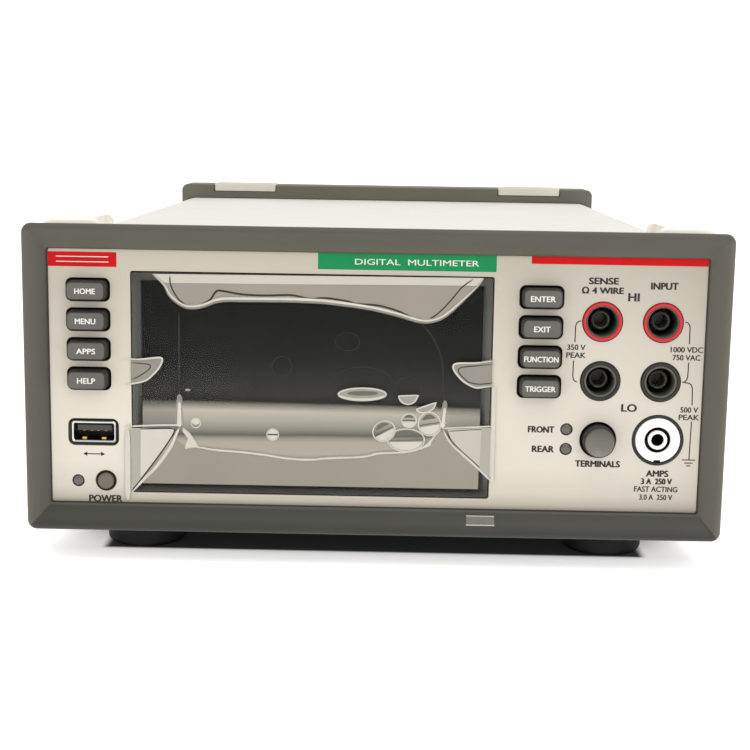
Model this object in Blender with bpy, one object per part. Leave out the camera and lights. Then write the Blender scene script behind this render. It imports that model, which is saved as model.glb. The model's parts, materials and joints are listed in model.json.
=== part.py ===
"""Bench multimeter: a half-rack, two-unit-high instrument in a sheet-metal case with
moulded bumpers at both ends, a colour touch display, eight keys, a terminals selector
button, four shrouded 4 mm input sockets and a fused current socket.

Frame: origin at the bottom centre of the bounding box, +Z up, the front faces -Y and
+X is to the right of someone who reads the display.  Lengths below are millimetres.
"""
import bpy
import bmesh
from math import cos, sin, pi, radians

# --------------------------------------------------------------------------- sizes
MM = 0.001
BUMPER_W = 220.0          # width over the bumpers
BUMPER_H = 97.3           # height of a bumper
DEPTH = 366.0             # front face of the front bumper to back of the rear bumper
FOOT_DROP = 10.1          # bumper underside above the table
Y_FRONT = -DEPTH / 2
Y_BACK = DEPTH / 2
Z_BOT = FOOT_DROP
Z_TOP = FOOT_DROP + BUMPER_H
GAP = 0.3                 # clearance between neighbouring pieces

CASE_HW = 106.5           # half width of the case cover
CASE_TOP = 100.1
CASE_BOT = 12.1
SHEET = 1.5               # sheet metal thickness
CASE_R = 4.0              # fold radius along the cover's top edges

FRONT_BUMPER_D = 24.0     # how far each bumper reaches along the case
REAR_BUMPER_D = 24.93
PANEL_SINK = 5.0          # front panel surface behind the bumper's face
PANEL_T = 3.0
Y_PANEL = Y_FRONT + PANEL_SINK
REAR_PANEL_Y = 165.0      # inner face of the rear panel
REAR_PANEL_T = 2.0
AP_HW = 103.0             # aperture half width inside the front bumper
AP_TOP = 99.5
AP_BOT = 18.2

# display
DISP_CX, DISP_CZ = -20.2, 57.25
DISP_HW, DISP_HH = 56.85, 35.45        # panel cut-out
WIN_HW, WIN_HH = 53.7, 32.4            # clear window
BEZEL_SINK = 1.5

# keys
KEY_Z = (86.6, 77.2, 67.8, 58.45)
KEY_X_LEFT, KEY_X_RIGHT = -90.3, 51.45
KEY_POCKET = (7.0, 3.77)               # half sizes
KEY_CAP = (6.4, 3.2)
KEY_PROUD = 4.8
KEY_TRAVEL = 0.8
KEYS_LEFT = ("key_home", "key_menu", "key_apps", "key_help")
KEYS_RIGHT = ("key_enter", "key_exit", "key_function", "key_trigger")

# sockets and controls on the front, (x, z)
JACKS = (("sense_hi", 70.6, 79.25), ("input_hi", 89.5, 79.25),
         ("sense_lo", 70.6, 60.5), ("input_lo", 89.5, 60.5))
JACK_R = 6.1
JACK_CAVITY_R = 4.5
JACK_CORE_R = 3.3
CONTACT_BORE_R = 2.0                   # takes a 4 mm plug
TERM_X, TERM_Z, TERM_R, TERM_HOLE_R = 70.6, 41.65, 5.0, 5.85
TERM_TRAVEL = 3.2
AMPS_X, AMPS_Z = 89.45, 41.9
AMPS_R, AMPS_CARRIER_R = 7.9, 7.1
POWER_X, POWER_Z, POWER_R, POWER_HOLE_R = -85.4, 25.5, 2.6, 3.4
POWER_TRAVEL = 1.0
LED_R = 1.75
LEDS = (("led_power", -94.3, 25.35), ("led_front", 60.6, 44.85), ("led_rear", 60.6, 38.5))
USB_X, USB_Z = -89.2, 41.2
USB_POCKET = (8.1, 4.4)
USB_SHELL = (7.1, 3.5)
USB_BORE = (6.3, 2.6)

# rear
REAR_JACKS = ((67.5, 79.0), (86.5, 79.0), (67.5, 60.0), (86.5, 60.0), (77.0, 39.5))
INLET_X = -76.0
INLET_Z = 46.5
DRAWER_Z = 29.0
FOOT_R = 13.2
FOOT_X = 76.5

# facets round a full circle
N_SOCKET = 20
N_KNOB = 20
N_SMALL = 12
FOOT_Y = (-153.0, 135.0)


# --------------------------------------------------------------------------- helpers
def clear():
    for ob in list(bpy.data.objects):
        bpy.data.objects.remove(ob, do_unlink=True)


MATS = {}


def material(name, color, rough, metal=0.0, alpha=1.0):
    if name in MATS:
        return MATS[name]
    m = bpy.data.materials.new(name)
    m.use_nodes = True
    p = m.node_tree.nodes["Principled BSDF"]
    p.inputs["Base Color"].default_value = (*color, 1.0)
    p.inputs["Roughness"].default_value = rough
    p.inputs["Metallic"].default_value = metal
    p.inputs["Alpha"].default_value = alpha
    m.diffuse_color = (*color, alpha)
    MATS[name] = m
    return m


def finish(name, bm, mat, smooth=False, origin=(0.0, 0.0, 0.0)):
    """Turn a bmesh in millimetres into a named object; origin is where its joint sits."""
    bmesh.ops.recalc_face_normals(bm, faces=bm.faces)
    for v in bm.verts:
        v.co = ((v.co.x - origin[0]) * MM, (v.co.y - origin[1]) * MM, (v.co.z - origin[2]) * MM)
    me = bpy.data.meshes.new(name)
    bm.to_mesh(me)
    bm.free()
    ob = bpy.data.objects.new(name, me)
    bpy.context.scene.collection.objects.link(ob)
    ob.location = (origin[0] * MM, origin[1] * MM, origin[2] * MM)
    if mat is not None:
        me.materials.append(mat)
    if smooth:
        me.shade_smooth()
        me.set_sharp_from_angle(angle=radians(35))
    return ob


def rounded(hx, hz, r, n, cx=0.0, cz=0.0):
    """Points of a rounded rectangle, counter-clockwise from its right side."""
    pts = []
    for sx, sz, a0 in ((1, 1, 0), (-1, 1, 90), (-1, -1, 180), (1, -1, 270)):
        for i in range(n + 1):
            a = radians(a0 + 90.0 * i / n)
            pts.append((cx + sx * (hx - r) + r * cos(a), cz + sz * (hz - r) + r * sin(a)))
    return pts


def circle(r, n, cx=0.0, cz=0.0, start=0.0):
    return [(cx + r * cos(start + 2 * pi * i / n), cz + r * sin(start + 2 * pi * i / n))
            for i in range(n)]


def along_y(points, y):
    return [(x, y, z) for x, z in points]


def loft(loops, ring=False):
    """Skin consecutive loops of equal length; a ring closes on itself, else it is capped."""
    bm = bmesh.new()
    rows = [[bm.verts.new(p) for p in loop] for loop in loops]
    n = len(rows[0])
    pairs = list(zip(rows[:-1], rows[1:]))
    if ring:
        pairs.append((rows[-1], rows[0]))
    for a, b in pairs:
        for i in range(n):
            j = (i + 1) % n
            bm.faces.new((a[i], a[j], b[j], b[i]))
    if not ring:
        bm.faces.new(rows[0][::-1])
        bm.faces.new(rows[-1])
    bmesh.ops.recalc_face_normals(bm, faces=bm.faces)
    return bm


def turned(profile, cx, cz, n, closed=False, axis="Y"):
    """Turn (radius, height) points about an axis; a zero radius is a point on the axis."""
    bm = bmesh.new()

    def at(r, h, a):
        if axis == "Y":
            return (cx + r * cos(a), h, cz + r * sin(a))
        return (cx + r * cos(a), cz + r * sin(a), h)

    rows = []
    for r, h in profile:
        if r < 1e-6:
            rows.append([bm.verts.new(at(0, h, 0))])
        else:
            rows.append([bm.verts.new(at(r, h, 2 * pi * (i + 0.5) / n)) for i in range(n)])
    pairs = list(zip(rows[:-1], rows[1:]))
    if closed:
        pairs.append((rows[-1], rows[0]))
    for a, b in pairs:
        for i in range(n):
            j = (i + 1) % n
            if len(a) == 1 and len(b) == 1:
                continue
            if len(a) == 1:
                bm.faces.new((a[0], b[j], b[i]))
            elif len(b) == 1:
                bm.faces.new((a[i], a[j], b[0]))
            else:
                bm.faces.new((a[i], a[j], b[j], b[i]))
    bmesh.ops.recalc_face_normals(bm, faces=bm.faces)
    return bm


def block(x0, x1, y0, y1, z0, z1):
    bm = bmesh.new()
    v = [bm.verts.new((x, y, z)) for x in (x0, x1) for y in (y0, y1) for z in (z0, z1)]
    for f in ((0, 1, 3, 2), (4, 6, 7, 5), (0, 4, 5, 1), (2, 3, 7, 6), (0, 2, 6, 4), (1, 5, 7, 3)):
        bm.faces.new([v[i] for i in f])
    bmesh.ops.recalc_face_normals(bm, faces=bm.faces)
    return bm


def prism_y(points, y0, y1):
    return loft([along_y(points, y0), along_y(points, y1)])


def soft_prism_y(hx, hz, r, n, cx, cz, y0, y1, c0=0.0, c1=0.0):
    """Rounded bar along Y with an optional chamfer at each end."""
    loops = []
    if c0:
        loops.append(along_y(rounded(hx - c0, hz - c0, max(r - c0, 0.2), n, cx, cz), y0))
    loops.append(along_y(rounded(hx, hz, r, n, cx, cz), y0 + c0))
    loops.append(along_y(rounded(hx, hz, r, n, cx, cz), y1 - c1))
    if c1:
        loops.append(along_y(rounded(hx - c1, hz - c1, max(r - c1, 0.2), n, cx, cz), y1))
    return loft(loops)


def merged(bms):
    """Several separate cutter shapes in one mesh."""
    out = bmesh.new()
    for b in bms:
        me = bpy.data.meshes.new("tmp")
        b.to_mesh(me)
        b.free()
        out.from_mesh(me)
        bpy.data.meshes.remove(me)
    return out


def boolean(base, tools, operation="DIFFERENCE"):
    """Cut or join bmeshes (millimetres) with the exact solver and return a new bmesh."""
    def temp(bm, name):
        bmesh.ops.recalc_face_normals(bm, faces=bm.faces)
        me = bpy.data.meshes.new(name)
        bm.to_mesh(me)
        bm.free()
        ob = bpy.data.objects.new(name, me)
        bpy.context.scene.collection.objects.link(ob)
        return ob
    body = temp(base, "cut_body")
    helpers = []
    for i, t in enumerate(tools):
        tool = temp(t, "cut_tool_%d" % i)
        tool.hide_render = True
        tool.display_type = "WIRE"
        helpers.append(tool)
        mod = body.modifiers.new("cut_%d" % i, "BOOLEAN")
        mod.operation = operation
        mod.solver = "EXACT"
        mod.object = tool
    deps = bpy.context.evaluated_depsgraph_get()
    me = bpy.data.meshes.new_from_object(body.evaluated_get(deps))
    out = bmesh.new()
    out.from_mesh(me)
    bpy.data.meshes.remove(me)
    for ob in [body] + helpers:
        m = ob.data
        bpy.data.objects.remove(ob, do_unlink=True)
        bpy.data.meshes.remove(m)
    bmesh.ops.remove_doubles(out, verts=out.verts, dist=0.0005)
    bmesh.ops.dissolve_limit(out, angle_limit=radians(0.05), verts=out.verts, edges=out.edges)
    return out


# --------------------------------------------------------------------------- materials
def materials():
    material("bumper_rubber", (0.115, 0.115, 0.095), 0.62)
    material("cover_paint", (0.80, 0.78, 0.73), 0.45)
    material("tray_steel", (0.62, 0.63, 0.62), 0.38, 1.0)
    material("panel_plastic", (0.60, 0.57, 0.49), 0.50)
    material("bezel_plastic", (0.16, 0.16, 0.155), 0.45)
    material("glass", (0.03, 0.03, 0.032), 0.08)
    material("film", (0.75, 0.76, 0.72), 0.12, 0.0, 0.35)
    material("lcd_black", (0.04, 0.04, 0.045), 0.4)
    material("board_green", (0.03, 0.16, 0.08), 0.45)
    material("core_steel", (0.33, 0.33, 0.34), 0.45, 1.0)
    material("shield_tin", (0.72, 0.72, 0.70), 0.3, 1.0)
    material("key_rubber", (0.155, 0.155, 0.145), 0.6)
    material("jack_black", (0.03, 0.03, 0.033), 0.4)
    material("jack_red", (0.55, 0.012, 0.022), 0.4)
    material("contact_brass", (0.75, 0.60, 0.32), 0.28, 1.0)
    material("usb_steel", (0.75, 0.75, 0.74), 0.22, 1.0)
    material("usb_insert", (0.03, 0.03, 0.03), 0.45)
    material("led_lens", (0.15, 0.15, 0.13), 0.3)
    material("button_plastic", (0.19, 0.19, 0.175), 0.5)
    material("carrier_white", (0.88, 0.86, 0.80), 0.4)
    material("fuse_glass", (0.85, 0.87, 0.86), 0.1)
    material("foot_rubber", (0.02, 0.02, 0.02), 0.7)
    material("pad_cream", (0.72, 0.69, 0.60), 0.55)
    material("rear_black", (0.035, 0.035, 0.037), 0.45)
    material("nickel", (0.72, 0.71, 0.68), 0.25, 1.0)


# --------------------------------------------------------------------------- bumpers
def frame_loop(hw, z0, z1, y, r, n=3):
    return along_y(rounded(hw, (z1 - z0) / 2, r, n, 0.0, (z0 + z1) / 2), y)


def front_bumper():
    y = Y_FRONT
    back = y + FRONT_BUMPER_D
    loops = [
        frame_loop(110.0, Z_BOT, Z_TOP, y + 1.6, 3.4),
        frame_loop(109.6, Z_BOT + 0.4, Z_TOP - 0.4, y + 0.5, 3.1),
        frame_loop(108.6, Z_BOT + 1.3, Z_TOP - 1.3, y, 2.4),
        frame_loop(AP_HW, AP_BOT, AP_TOP, y + 4.0, 0.7),
        frame_loop(AP_HW, AP_BOT, AP_TOP, Y_PANEL - GAP, 0.7),
        frame_loop(CASE_HW + GAP, CASE_BOT - GAP, CASE_TOP + GAP, Y_PANEL - GAP, 0.5),
        frame_loop(CASE_HW + GAP, CASE_BOT - GAP, CASE_TOP + GAP, back, 0.5),
        frame_loop(109.2, Z_BOT + 0.3, Z_TOP - 2.0, back, 3.0),
    ]
    bm = loft(loops, ring=True)
    bites = [turned([(0, 5.0), (FOOT_R + 0.5, 5.0), (FOOT_R + 0.5, 15.0), (0, 15.0)],
                    s * FOOT_X, FOOT_Y[0], 24, axis="Z") for s in (-1, 1)]
    bm = boolean(bm, bites)
    finish("front_bumper", bm, MATS["bumper_rubber"])


PAD_X, PAD_HW = 76.0, 16.5
PAD_FLOOR = Z_TOP - 3.7


def rear_bumper():
    y0 = Y_BACK - REAR_BUMPER_D
    ledge = REAR_PANEL_Y + REAR_PANEL_T + GAP
    loops = [
        frame_loop(110.0, Z_BOT, Z_TOP, y0 + 1.0, 3.4),
        frame_loop(110.0, Z_BOT, Z_TOP, Y_BACK - 1.6, 3.4),
        frame_loop(109.5, Z_BOT + 0.5, Z_TOP - 0.5, Y_BACK - 0.4, 3.0),
        frame_loop(108.4, Z_BOT + 1.5, Z_TOP - 1.5, Y_BACK, 2.4),
        frame_loop(106.2, Z_BOT + 4.5, Z_TOP - 4.5, Y_BACK, 2.2),
        frame_loop(103.6, 17.4, 98.6, ledge + 3.0, 2.0),
        frame_loop(103.6, 17.4, 98.6, ledge, 2.0),
        frame_loop(CASE_HW + GAP, CASE_BOT - GAP, CASE_TOP + GAP, ledge, 0.5),
        frame_loop(CASE_HW + GAP, CASE_BOT - GAP, CASE_TOP + GAP, y0, 0.5),
        frame_loop(109.4, Z_BOT + 0.6, Z_TOP - 0.6, y0, 2.8),
    ]
    bm = loft(loops, ring=True)
    cuts = [block(s * PAD_X - PAD_HW - GAP, s * PAD_X + PAD_HW + GAP, y0 - 5, Y_BACK - 6.0,
                  PAD_FLOOR, Z_TOP + 5) for s in (-1, 1)]
    bm = boolean(bm, cuts)
    finish("rear_bumper", bm, MATS["bumper_rubber"])
    for s, side in ((-1, "left"), (1, "right")):
        pad = loft([
            [(s * PAD_X + px, yy, PAD_FLOOR + GAP) for px, yy in
             rounded(PAD_HW, 9.2, 1.0, 2, 0.0, (y0 + 0.2 + Y_BACK - 6.3) / 2)],
            [(s * PAD_X + px, yy, Z_TOP + 0.2) for px, yy in
             rounded(PAD_HW, 9.2, 1.0, 2, 0.0, (y0 + 0.2 + Y_BACK - 6.3) / 2)],
            [(s * PAD_X + px, yy, Z_TOP + 0.6) for px, yy in
             rounded(PAD_HW - 0.4, 8.8, 0.8, 2, 0.0, (y0 + 0.2 + Y_BACK - 6.3) / 2)],
        ])
        finish("stacking_pad_" + side, pad, MATS["pad_cream"])


def corner_lugs():
    """Moulded lugs that hold the front bumper on and carry the cover's front corners."""
    y0 = Y_FRONT + FRONT_BUMPER_D + GAP
    y1 = Y_FRONT + 58.0
    for s, side in ((-1, "left"), (1, "right")):
        def lug(inset, y):
            top = Z_TOP - inset
            out = 109.0 - inset * 0.6
            inn = 91.0 + inset
            pts = [(inn, CASE_TOP + GAP), (inn, top - 1.6), (inn + 1.6, top), (out - 3.0, top),
                   (out - 0.9, top - 0.9), (out, top - 3.0), (out, 84.0 + inset),
                   (CASE_HW + GAP, 82.5 + inset), (CASE_HW + GAP, CASE_TOP - CASE_R + 1.0),
                   (CASE_HW + GAP - 1.1, CASE_TOP - 0.8), (CASE_HW - CASE_R + 1.0, CASE_TOP + GAP)]
            return [(s * px, y, pz) for px, pz in pts]
        bm = loft([lug(0.7, y0), lug(0.0, y0 + 1.0), lug(0.0, y1 - 7.0), lug(0.5, y1 - 2.5),
                   lug(1.6, y1)])
        notch = block(min(s * 88.0, s * 93.2), max(s * 88.0, s * 93.2), y0 + 4.0, y1 - 8.0,
                      CASE_TOP + 3.4, Z_TOP + 3)
        bm = boolean(bm, [notch])
        finish("corner_lug_" + side, bm, MATS["cover_paint"])


# --------------------------------------------------------------------------- case
def case_cover():
    y0 = Y_PANEL + PANEL_T + GAP
    y1 = REAR_PANEL_Y - GAP
    n = 4

    def outline():
        out, inn = [], []
        ro, ri = CASE_R, CASE_R - SHEET
        out.append((CASE_HW, CASE_BOT))
        for i in range(n + 1):
            a = radians(90.0 * i / n)
            out.append((CASE_HW - ro + ro * cos(a), CASE_TOP - ro + ro * sin(a)))
        for i in range(n + 1):
            a = radians(90 + 90.0 * i / n)
            out.append((-CASE_HW + ro + ro * cos(a), CASE_TOP - ro + ro * sin(a)))
        out.append((-CASE_HW, CASE_BOT))
        inn.append((-CASE_HW + SHEET, CASE_BOT))
        for i in range(n + 1):
            a = radians(180 - 90.0 * i / n)
            inn.append((-CASE_HW + ro + ri * cos(a), CASE_TOP - ro + ri * sin(a)))
        for i in range(n + 1):
            a = radians(90 - 90.0 * i / n)
            inn.append((CASE_HW - ro + ri * cos(a), CASE_TOP - ro + ri * sin(a)))
        inn.append((CASE_HW - SHEET, CASE_BOT))
        return out + inn
    bm = prism_y(outline(), y0, y1)
    slots = []
    for s in (-1, 1):
        for k in range(14):
            yc = -20.0 + k * 7.5
            slots.append(block(min(s * 103.5, s * 108), max(s * 103.5, s * 108),
                               yc - 1.5, yc + 1.5, 36.0, 74.0))
    bm = boolean(bm, [merged(slots)])
    finish("case_cover", bm, MATS["cover_paint"], smooth=True)


def base_tray():
    y0 = Y_PANEL + PANEL_T + GAP
    y1 = REAR_PANEL_Y - GAP
    hw = CASE_HW - SHEET - GAP
    pts = [(-hw, CASE_BOT), (hw, CASE_BOT), (hw, 28.0), (hw - SHEET, 28.0),
           (hw - SHEET, CASE_BOT + SHEET), (-hw + SHEET, CASE_BOT + SHEET),
           (-hw + SHEET, 28.0), (-hw, 28.0)]
    bm = prism_y(pts, y0, y1)
    slots = []
    for k in range(9):
        xc = -48.0 + k * 12.0
        slots.append(block(xc - 1.6, xc + 1.6, -70.0, -40.0, 8.0, 18.0))
    bm = boolean(bm, [merged(slots)])
    finish("base_tray", bm, MATS["tray_steel"])


def feet():
    for j, y in enumerate(FOOT_Y):
        for s, side in ((-1, "left"), (1, "right")):
            prof = [(0, 0), (11.2, 0), (12.3, 0.5), (12.9, 1.6), (FOOT_R, 4.0),
                    (FOOT_R, CASE_BOT - GAP), (0, CASE_BOT - GAP)]
            bm = turned(prof, s * FOOT_X, y, 24, axis="Z")
            finish("foot_%s_%s" % ("front" if j == 0 else "rear", side), bm,
                   MATS["foot_rubber"], smooth=True)


# --------------------------------------------------------------------------- front panel
def key_positions():
    out = []
    for name, z in zip(KEYS_LEFT, KEY_Z):
        out.append((name, KEY_X_LEFT, z))
    for name, z in zip(KEYS_RIGHT, KEY_Z):
        out.append((name, KEY_X_RIGHT, z))
    return out


def front_panel():
    y0, y1 = Y_PANEL, Y_PANEL + PANEL_T
    zc = (CASE_BOT + CASE_TOP) / 2
    bm = prism_y(rounded(106.2, (CASE_TOP - CASE_BOT) / 2 - 0.3, 1.2, 2, 0, zc), y0, y1)
    a, b = y0 - 2.0, y1 + 2.0
    cuts = [prism_y(rounded(DISP_HW, DISP_HH, 0.8, 2, DISP_CX, DISP_CZ), a, b)]
    for _, x, z in key_positions():
        cuts.append(prism_y(rounded(KEY_POCKET[0], KEY_POCKET[1], 2.0, 3, x, z), a, b))
    cuts.append(prism_y(rounded(USB_POCKET[0], USB_POCKET[1], 2.0, 3, USB_X, USB_Z), a, b))
    for _, x, z in JACKS:
        cuts.append(prism_y(circle(JACK_R + GAP, N_SOCKET, x, z, pi / N_SOCKET), a, b))
    cuts.append(prism_y(circle(TERM_HOLE_R, N_KNOB, TERM_X, TERM_Z, pi / N_KNOB), a, b))
    cuts.append(prism_y(circle(AMPS_R + GAP, 24, AMPS_X, AMPS_Z, pi / 24), a, b))
    cuts.append(prism_y(circle(POWER_HOLE_R, 16, POWER_X, POWER_Z, pi / 16), a, b))
    for _, x, z in LEDS:
        cuts.append(prism_y(circle(LED_R + 0.25, N_SMALL, x, z, pi / N_SMALL), a, b))
    bm = boolean(bm, [merged(cuts)])
    finish("front_panel", bm, MATS["panel_plastic"])


def display():
    def loop(hx, hz, y, r):
        return along_y(rounded(hx, hz, r, 2, DISP_CX, DISP_CZ), y)
    o = GAP
    y = Y_PANEL
    bezel = loft([
        loop(DISP_HW - o, DISP_HH - o, y + 0.1, 0.8),
        loop(WIN_HW, WIN_HH, y + BEZEL_SINK, 0.5),
        loop(WIN_HW, WIN_HH, y + BEZEL_SINK + 0.6, 0.5),
        loop(WIN_HW + 1.3, WIN_HH + 1.3, y + BEZEL_SINK + 0.6, 0.5),
        loop(WIN_HW + 1.3, WIN_HH + 1.3, y + 6.4, 0.5),
        loop(DISP_HW - o, DISP_HH - o, y + 6.4, 0.8),
    ], ring=True)
    finish("display_bezel", bezel, MATS["bezel_plastic"])
    glass = prism_y(rounded(WIN_HW + 1.0, WIN_HH + 1.0, 0.5, 2, DISP_CX, DISP_CZ),
                    y + BEZEL_SINK + 0.9, y + BEZEL_SINK + 2.6)
    finish("touch_glass", glass, MATS["glass"])
    lcd = block(DISP_CX - 58, DISP_CX + 58, y + 6.8, y + 12.8, DISP_CZ - 36.5, DISP_CZ + 36.5)
    finish("lcd_module", lcd, MATS["lcd_black"])
    film = prism_y(rounded(DISP_HW + 1.2, DISP_HH - 0.4, 1.5, 2, DISP_CX, DISP_CZ),
                   y - 0.55, y - 0.35)
    finish("screen_film", film, MATS["film"])


def front_board():
    y0 = Y_PANEL + 14.2
    bm = block(-102.5, 62.5, y0, y0 + 1.6, 20.0, 96.0)
    finish("front_board", bm, MATS["board_green"])


def keys():
    yb = Y_PANEL + PANEL_T                       # back of the panel
    board = Y_PANEL + 14.2
    for name, x, z in key_positions():
        hx, hz = KEY_CAP
        tip = Y_PANEL - KEY_PROUD
        rows = [
            along_y(rounded(hx - 0.95, hz - 0.95, 1.0, 2, x, z), tip),
            along_y(rounded(hx - 0.35, hz - 0.35, 1.5, 2, x, z), tip + 0.35),
            along_y(rounded(hx - 0.08, hz - 0.08, 1.7, 2, x, z), tip + 1.1),
            along_y(rounded(hx, hz, 1.7, 2, x, z), yb + GAP),
            along_y(rounded(hx + 1.2, hz + 1.0, 1.7, 2, x, z), yb + GAP),
            along_y(rounded(hx + 1.2, hz + 1.0, 1.7, 2, x, z), yb + GAP + 1.2),
            along_y(rounded(2.0, 1.6, 1.2, 2, x, z), yb + GAP + 1.2),
            along_y(rounded(2.0, 1.6, 1.2, 2, x, z), board - KEY_TRAVEL - 0.4),
        ]
        finish(name, loft(rows), MATS["key_rubber"], smooth=True, origin=(x, yb, z))


def jacks():
    for name, x, z in JACKS:
        y = Y_PANEL
        body = [
            (JACK_CAVITY_R, y + 0.5), (JACK_CAVITY_R + 0.7, y - 0.3), (JACK_R - 0.4, y - 0.5),
            (JACK_R, y - 0.2), (JACK_R, y + 19.0),
            (2.6, y + 19.0), (2.6, y + 7.3), (JACK_CORE_R - 0.2, y + 7.3), (JACK_CORE_R, y + 7.5),
            (JACK_CORE_R, y + 17.0), (JACK_CAVITY_R, y + 17.0),
        ]
        mat = MATS["jack_red"] if name.endswith("hi") else MATS["jack_black"]
        finish("jack_" + name, turned(body, x, z, N_SOCKET, closed=True), mat, smooth=True)
        sleeve = [(CONTACT_BORE_R, y + 7.6), (2.3, y + 7.6), (2.3, y + 26.0), (0, y + 26.0),
                  (0, y + 23.0), (CONTACT_BORE_R, y + 23.0)]
        finish("contact_" + name, turned_cup(sleeve, x, z, N_SMALL), MATS["contact_brass"], smooth=True)


def turned_cup(profile, cx, cz, n):
    """Cup whose outer and inner floors both meet the axis: profile runs mouth, outside,
    outer floor centre, inner floor centre, inside wall foot and back to the mouth."""
    bm = bmesh.new()
    rows = []
    for r, h in profile:
        if r < 1e-6:
            rows.append([bm.verts.new((cx, h, cz))])
        else:
            rows.append([bm.verts.new((cx + r * cos(2 * pi * (i + 0.5) / n), h,
                                       cz + r * sin(2 * pi * (i + 0.5) / n))) for i in range(n)])
    m = len(rows)
    for k in range(m):
        a, b = rows[k], rows[(k + 1) % m]
        if len(a) == 1 and len(b) == 1:
            continue
        for i in range(n):
            j = (i + 1) % n
            if len(a) == 1:
                bm.faces.new((a[0], b[j], b[i]))
            elif len(b) == 1:
                bm.faces.new((a[i], a[j], b[0]))
            else:
                bm.faces.new((a[i], a[j], b[j], b[i]))
    bmesh.ops.recalc_face_normals(bm, faces=bm.faces)
    return bm


def amps():
    y = Y_PANEL
    x, z = AMPS_X, AMPS_Z
    housing = turned_cup([
        (AMPS_CARRIER_R + 0.25, y - 0.3), (AMPS_R - 0.1, y - 0.3), (AMPS_R, y - 0.1),
        (AMPS_R, y + 48.0), (0, y + 48.0), (0, y + 46.4), (6.0, y + 46.4), (6.0, y + 3.2),
        (AMPS_CARRIER_R + 0.25, y + 3.2)], x, z, 24)
    finish("amps_housing", housing, MATS["jack_black"], smooth=True)
    # bayonet carrier: a shrouded 4 mm socket in front, a fuse pocket behind
    front = turned_cup([
        (CONTACT_BORE_R, y - 0.1), (CONTACT_BORE_R + 0.35, y - 0.45), (3.05, y - 0.45),
        (3.05, y + 6.0), (4.1, y + 6.0), (4.1, y - 0.1), (4.5, y - 0.5),
        (AMPS_CARRIER_R - 0.4, y - 0.5), (AMPS_CARRIER_R, y - 0.1), (AMPS_CARRIER_R, y + 2.9),
        (5.7, y + 2.9), (5.7, y + 45.8), (2.95, y + 45.8), (2.95, y + 24.0), (0, y + 24.0),
        (0, y + 20.0), (CONTACT_BORE_R, y + 20.0)], x, z, 24)
    finish("amps_fuse_carrier", front, MATS["carrier_white"], smooth=True,
           origin=(x, y, z))
    fuse = turned([(0, y + 24.3), (2.6, y + 24.3), (2.6, y + 44.3), (0, y + 44.3)], x, z, N_SMALL)
    finish("amps_fuse", fuse, MATS["fuse_glass"], smooth=True, origin=(x, y, z))


def buttons():
    y = Y_PANEL
    x, z = TERM_X, TERM_Z
    tip = y - 4.9
    cap = [(0, tip + 1.5), (1.8, tip + 1.3), (3.2, tip + 0.75), (4.2, tip + 0.1), (4.6, tip),
           (TERM_R, tip + 0.4), (TERM_R, y + 6.0), (0, y + 6.0)]
    finish("terminals_button", turned(cap, x, z, N_KNOB), MATS["button_plastic"], smooth=True,
           origin=(x, y, z))
    rod = turned([(0, y + 6.3), (2.2, y + 6.3), (2.2, y + 78.0), (0, y + 78.0)], x, z, 12)
    finish("terminals_push_rod", rod, MATS["button_plastic"], smooth=True, origin=(x, y, z))
    x, z = POWER_X, POWER_Z
    tip = y - 1.3
    cap = [(0, tip - 0.05), (1.2, tip), (2.1, tip + 0.15), (2.45, tip + 0.4), (POWER_R, tip + 0.8),
           (POWER_R, y + PANEL_T + GAP), (4.4, y + PANEL_T + GAP), (4.4, y + PANEL_T + 1.3),
           (1.6, y + PANEL_T + 1.3), (1.6, y + 14.2 - POWER_TRAVEL - 0.4),
           (0, y + 14.2 - POWER_TRAVEL - 0.4)]
    finish("power_button", turned(cap, x, z, 16), MATS["button_plastic"], smooth=True,
           origin=(x, y, z))


def leds():
    for name, x, z in LEDS:
        y = Y_PANEL
        prof = [(0, y - 0.2), (1.1, y - 0.12), (LED_R, y + 0.2), (LED_R, y + 3.4),
                (LED_R + 0.6, y + 3.4), (LED_R + 0.6, y + 13.6), (0, y + 13.6)]
        finish(name, turned(prof, x, z, N_SMALL), MATS["led_lens"], smooth=True)


def usb_front():
    y = Y_PANEL + 0.2
    shell = prism_y(rounded(USB_SHELL[0], USB_SHELL[1], 0.9, 2, USB_X, USB_Z), y, y + 13.4)
    hole = prism_y(rounded(USB_BORE[0], USB_BORE[1], 0.5, 2, USB_X, USB_Z), y - 2, y + 12.4)
    finish("usb_shell", boolean(shell, [hole]), MATS["usb_steel"])
    base = block(USB_X - 5.9, USB_X + 5.9, y + 9.6, y + 12.1, USB_Z - 2.2, USB_Z + 2.2)
    tongue = block(USB_X - 5.5, USB_X + 5.5, y + 1.4, y + 10.5, USB_Z + 0.15, USB_Z + 1.95)
    finish("usb_insert", boolean(base, [tongue], "UNION"), MATS["usb_insert"])


# --------------------------------------------------------------------------- inside
def innards():
    finish("main_board", block(-28.0, 99.0, -148.0, 148.0, 22.0, 23.6), MATS["board_green"])
    core = block(-98.0, -42.0, 30.0, 98.0, 14.2, 62.0)
    finish("mains_transformer", core, MATS["core_steel"])
    can = boolean(block(14.0, 94.0, -84.0, 46.0, 24.2, 46.0),
                  [block(15.0, 93.0, -83.0, 45.0, 20.0, 45.0)])
    finish("shield_can", can, MATS["shield_tin"])


# --------------------------------------------------------------------------- rear
BLOCK_HX, BLOCK_Z0, BLOCK_Z1 = 19.0, 30.5, 88.5
SLOT_COVER = (-62.0, 44.0, 66.0, 92.0)
COMM_COVER = (-44.0, 44.0, 46.0, 60.0)
LAN = (4.0, 30.0)
USB_B = (-26.0, 30.0)
BNC = (("trigger", 26.0, 30.0), ("complete", 43.0, 30.0))
GROUND = (-100.0 + 54.0, 26.0)


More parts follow.
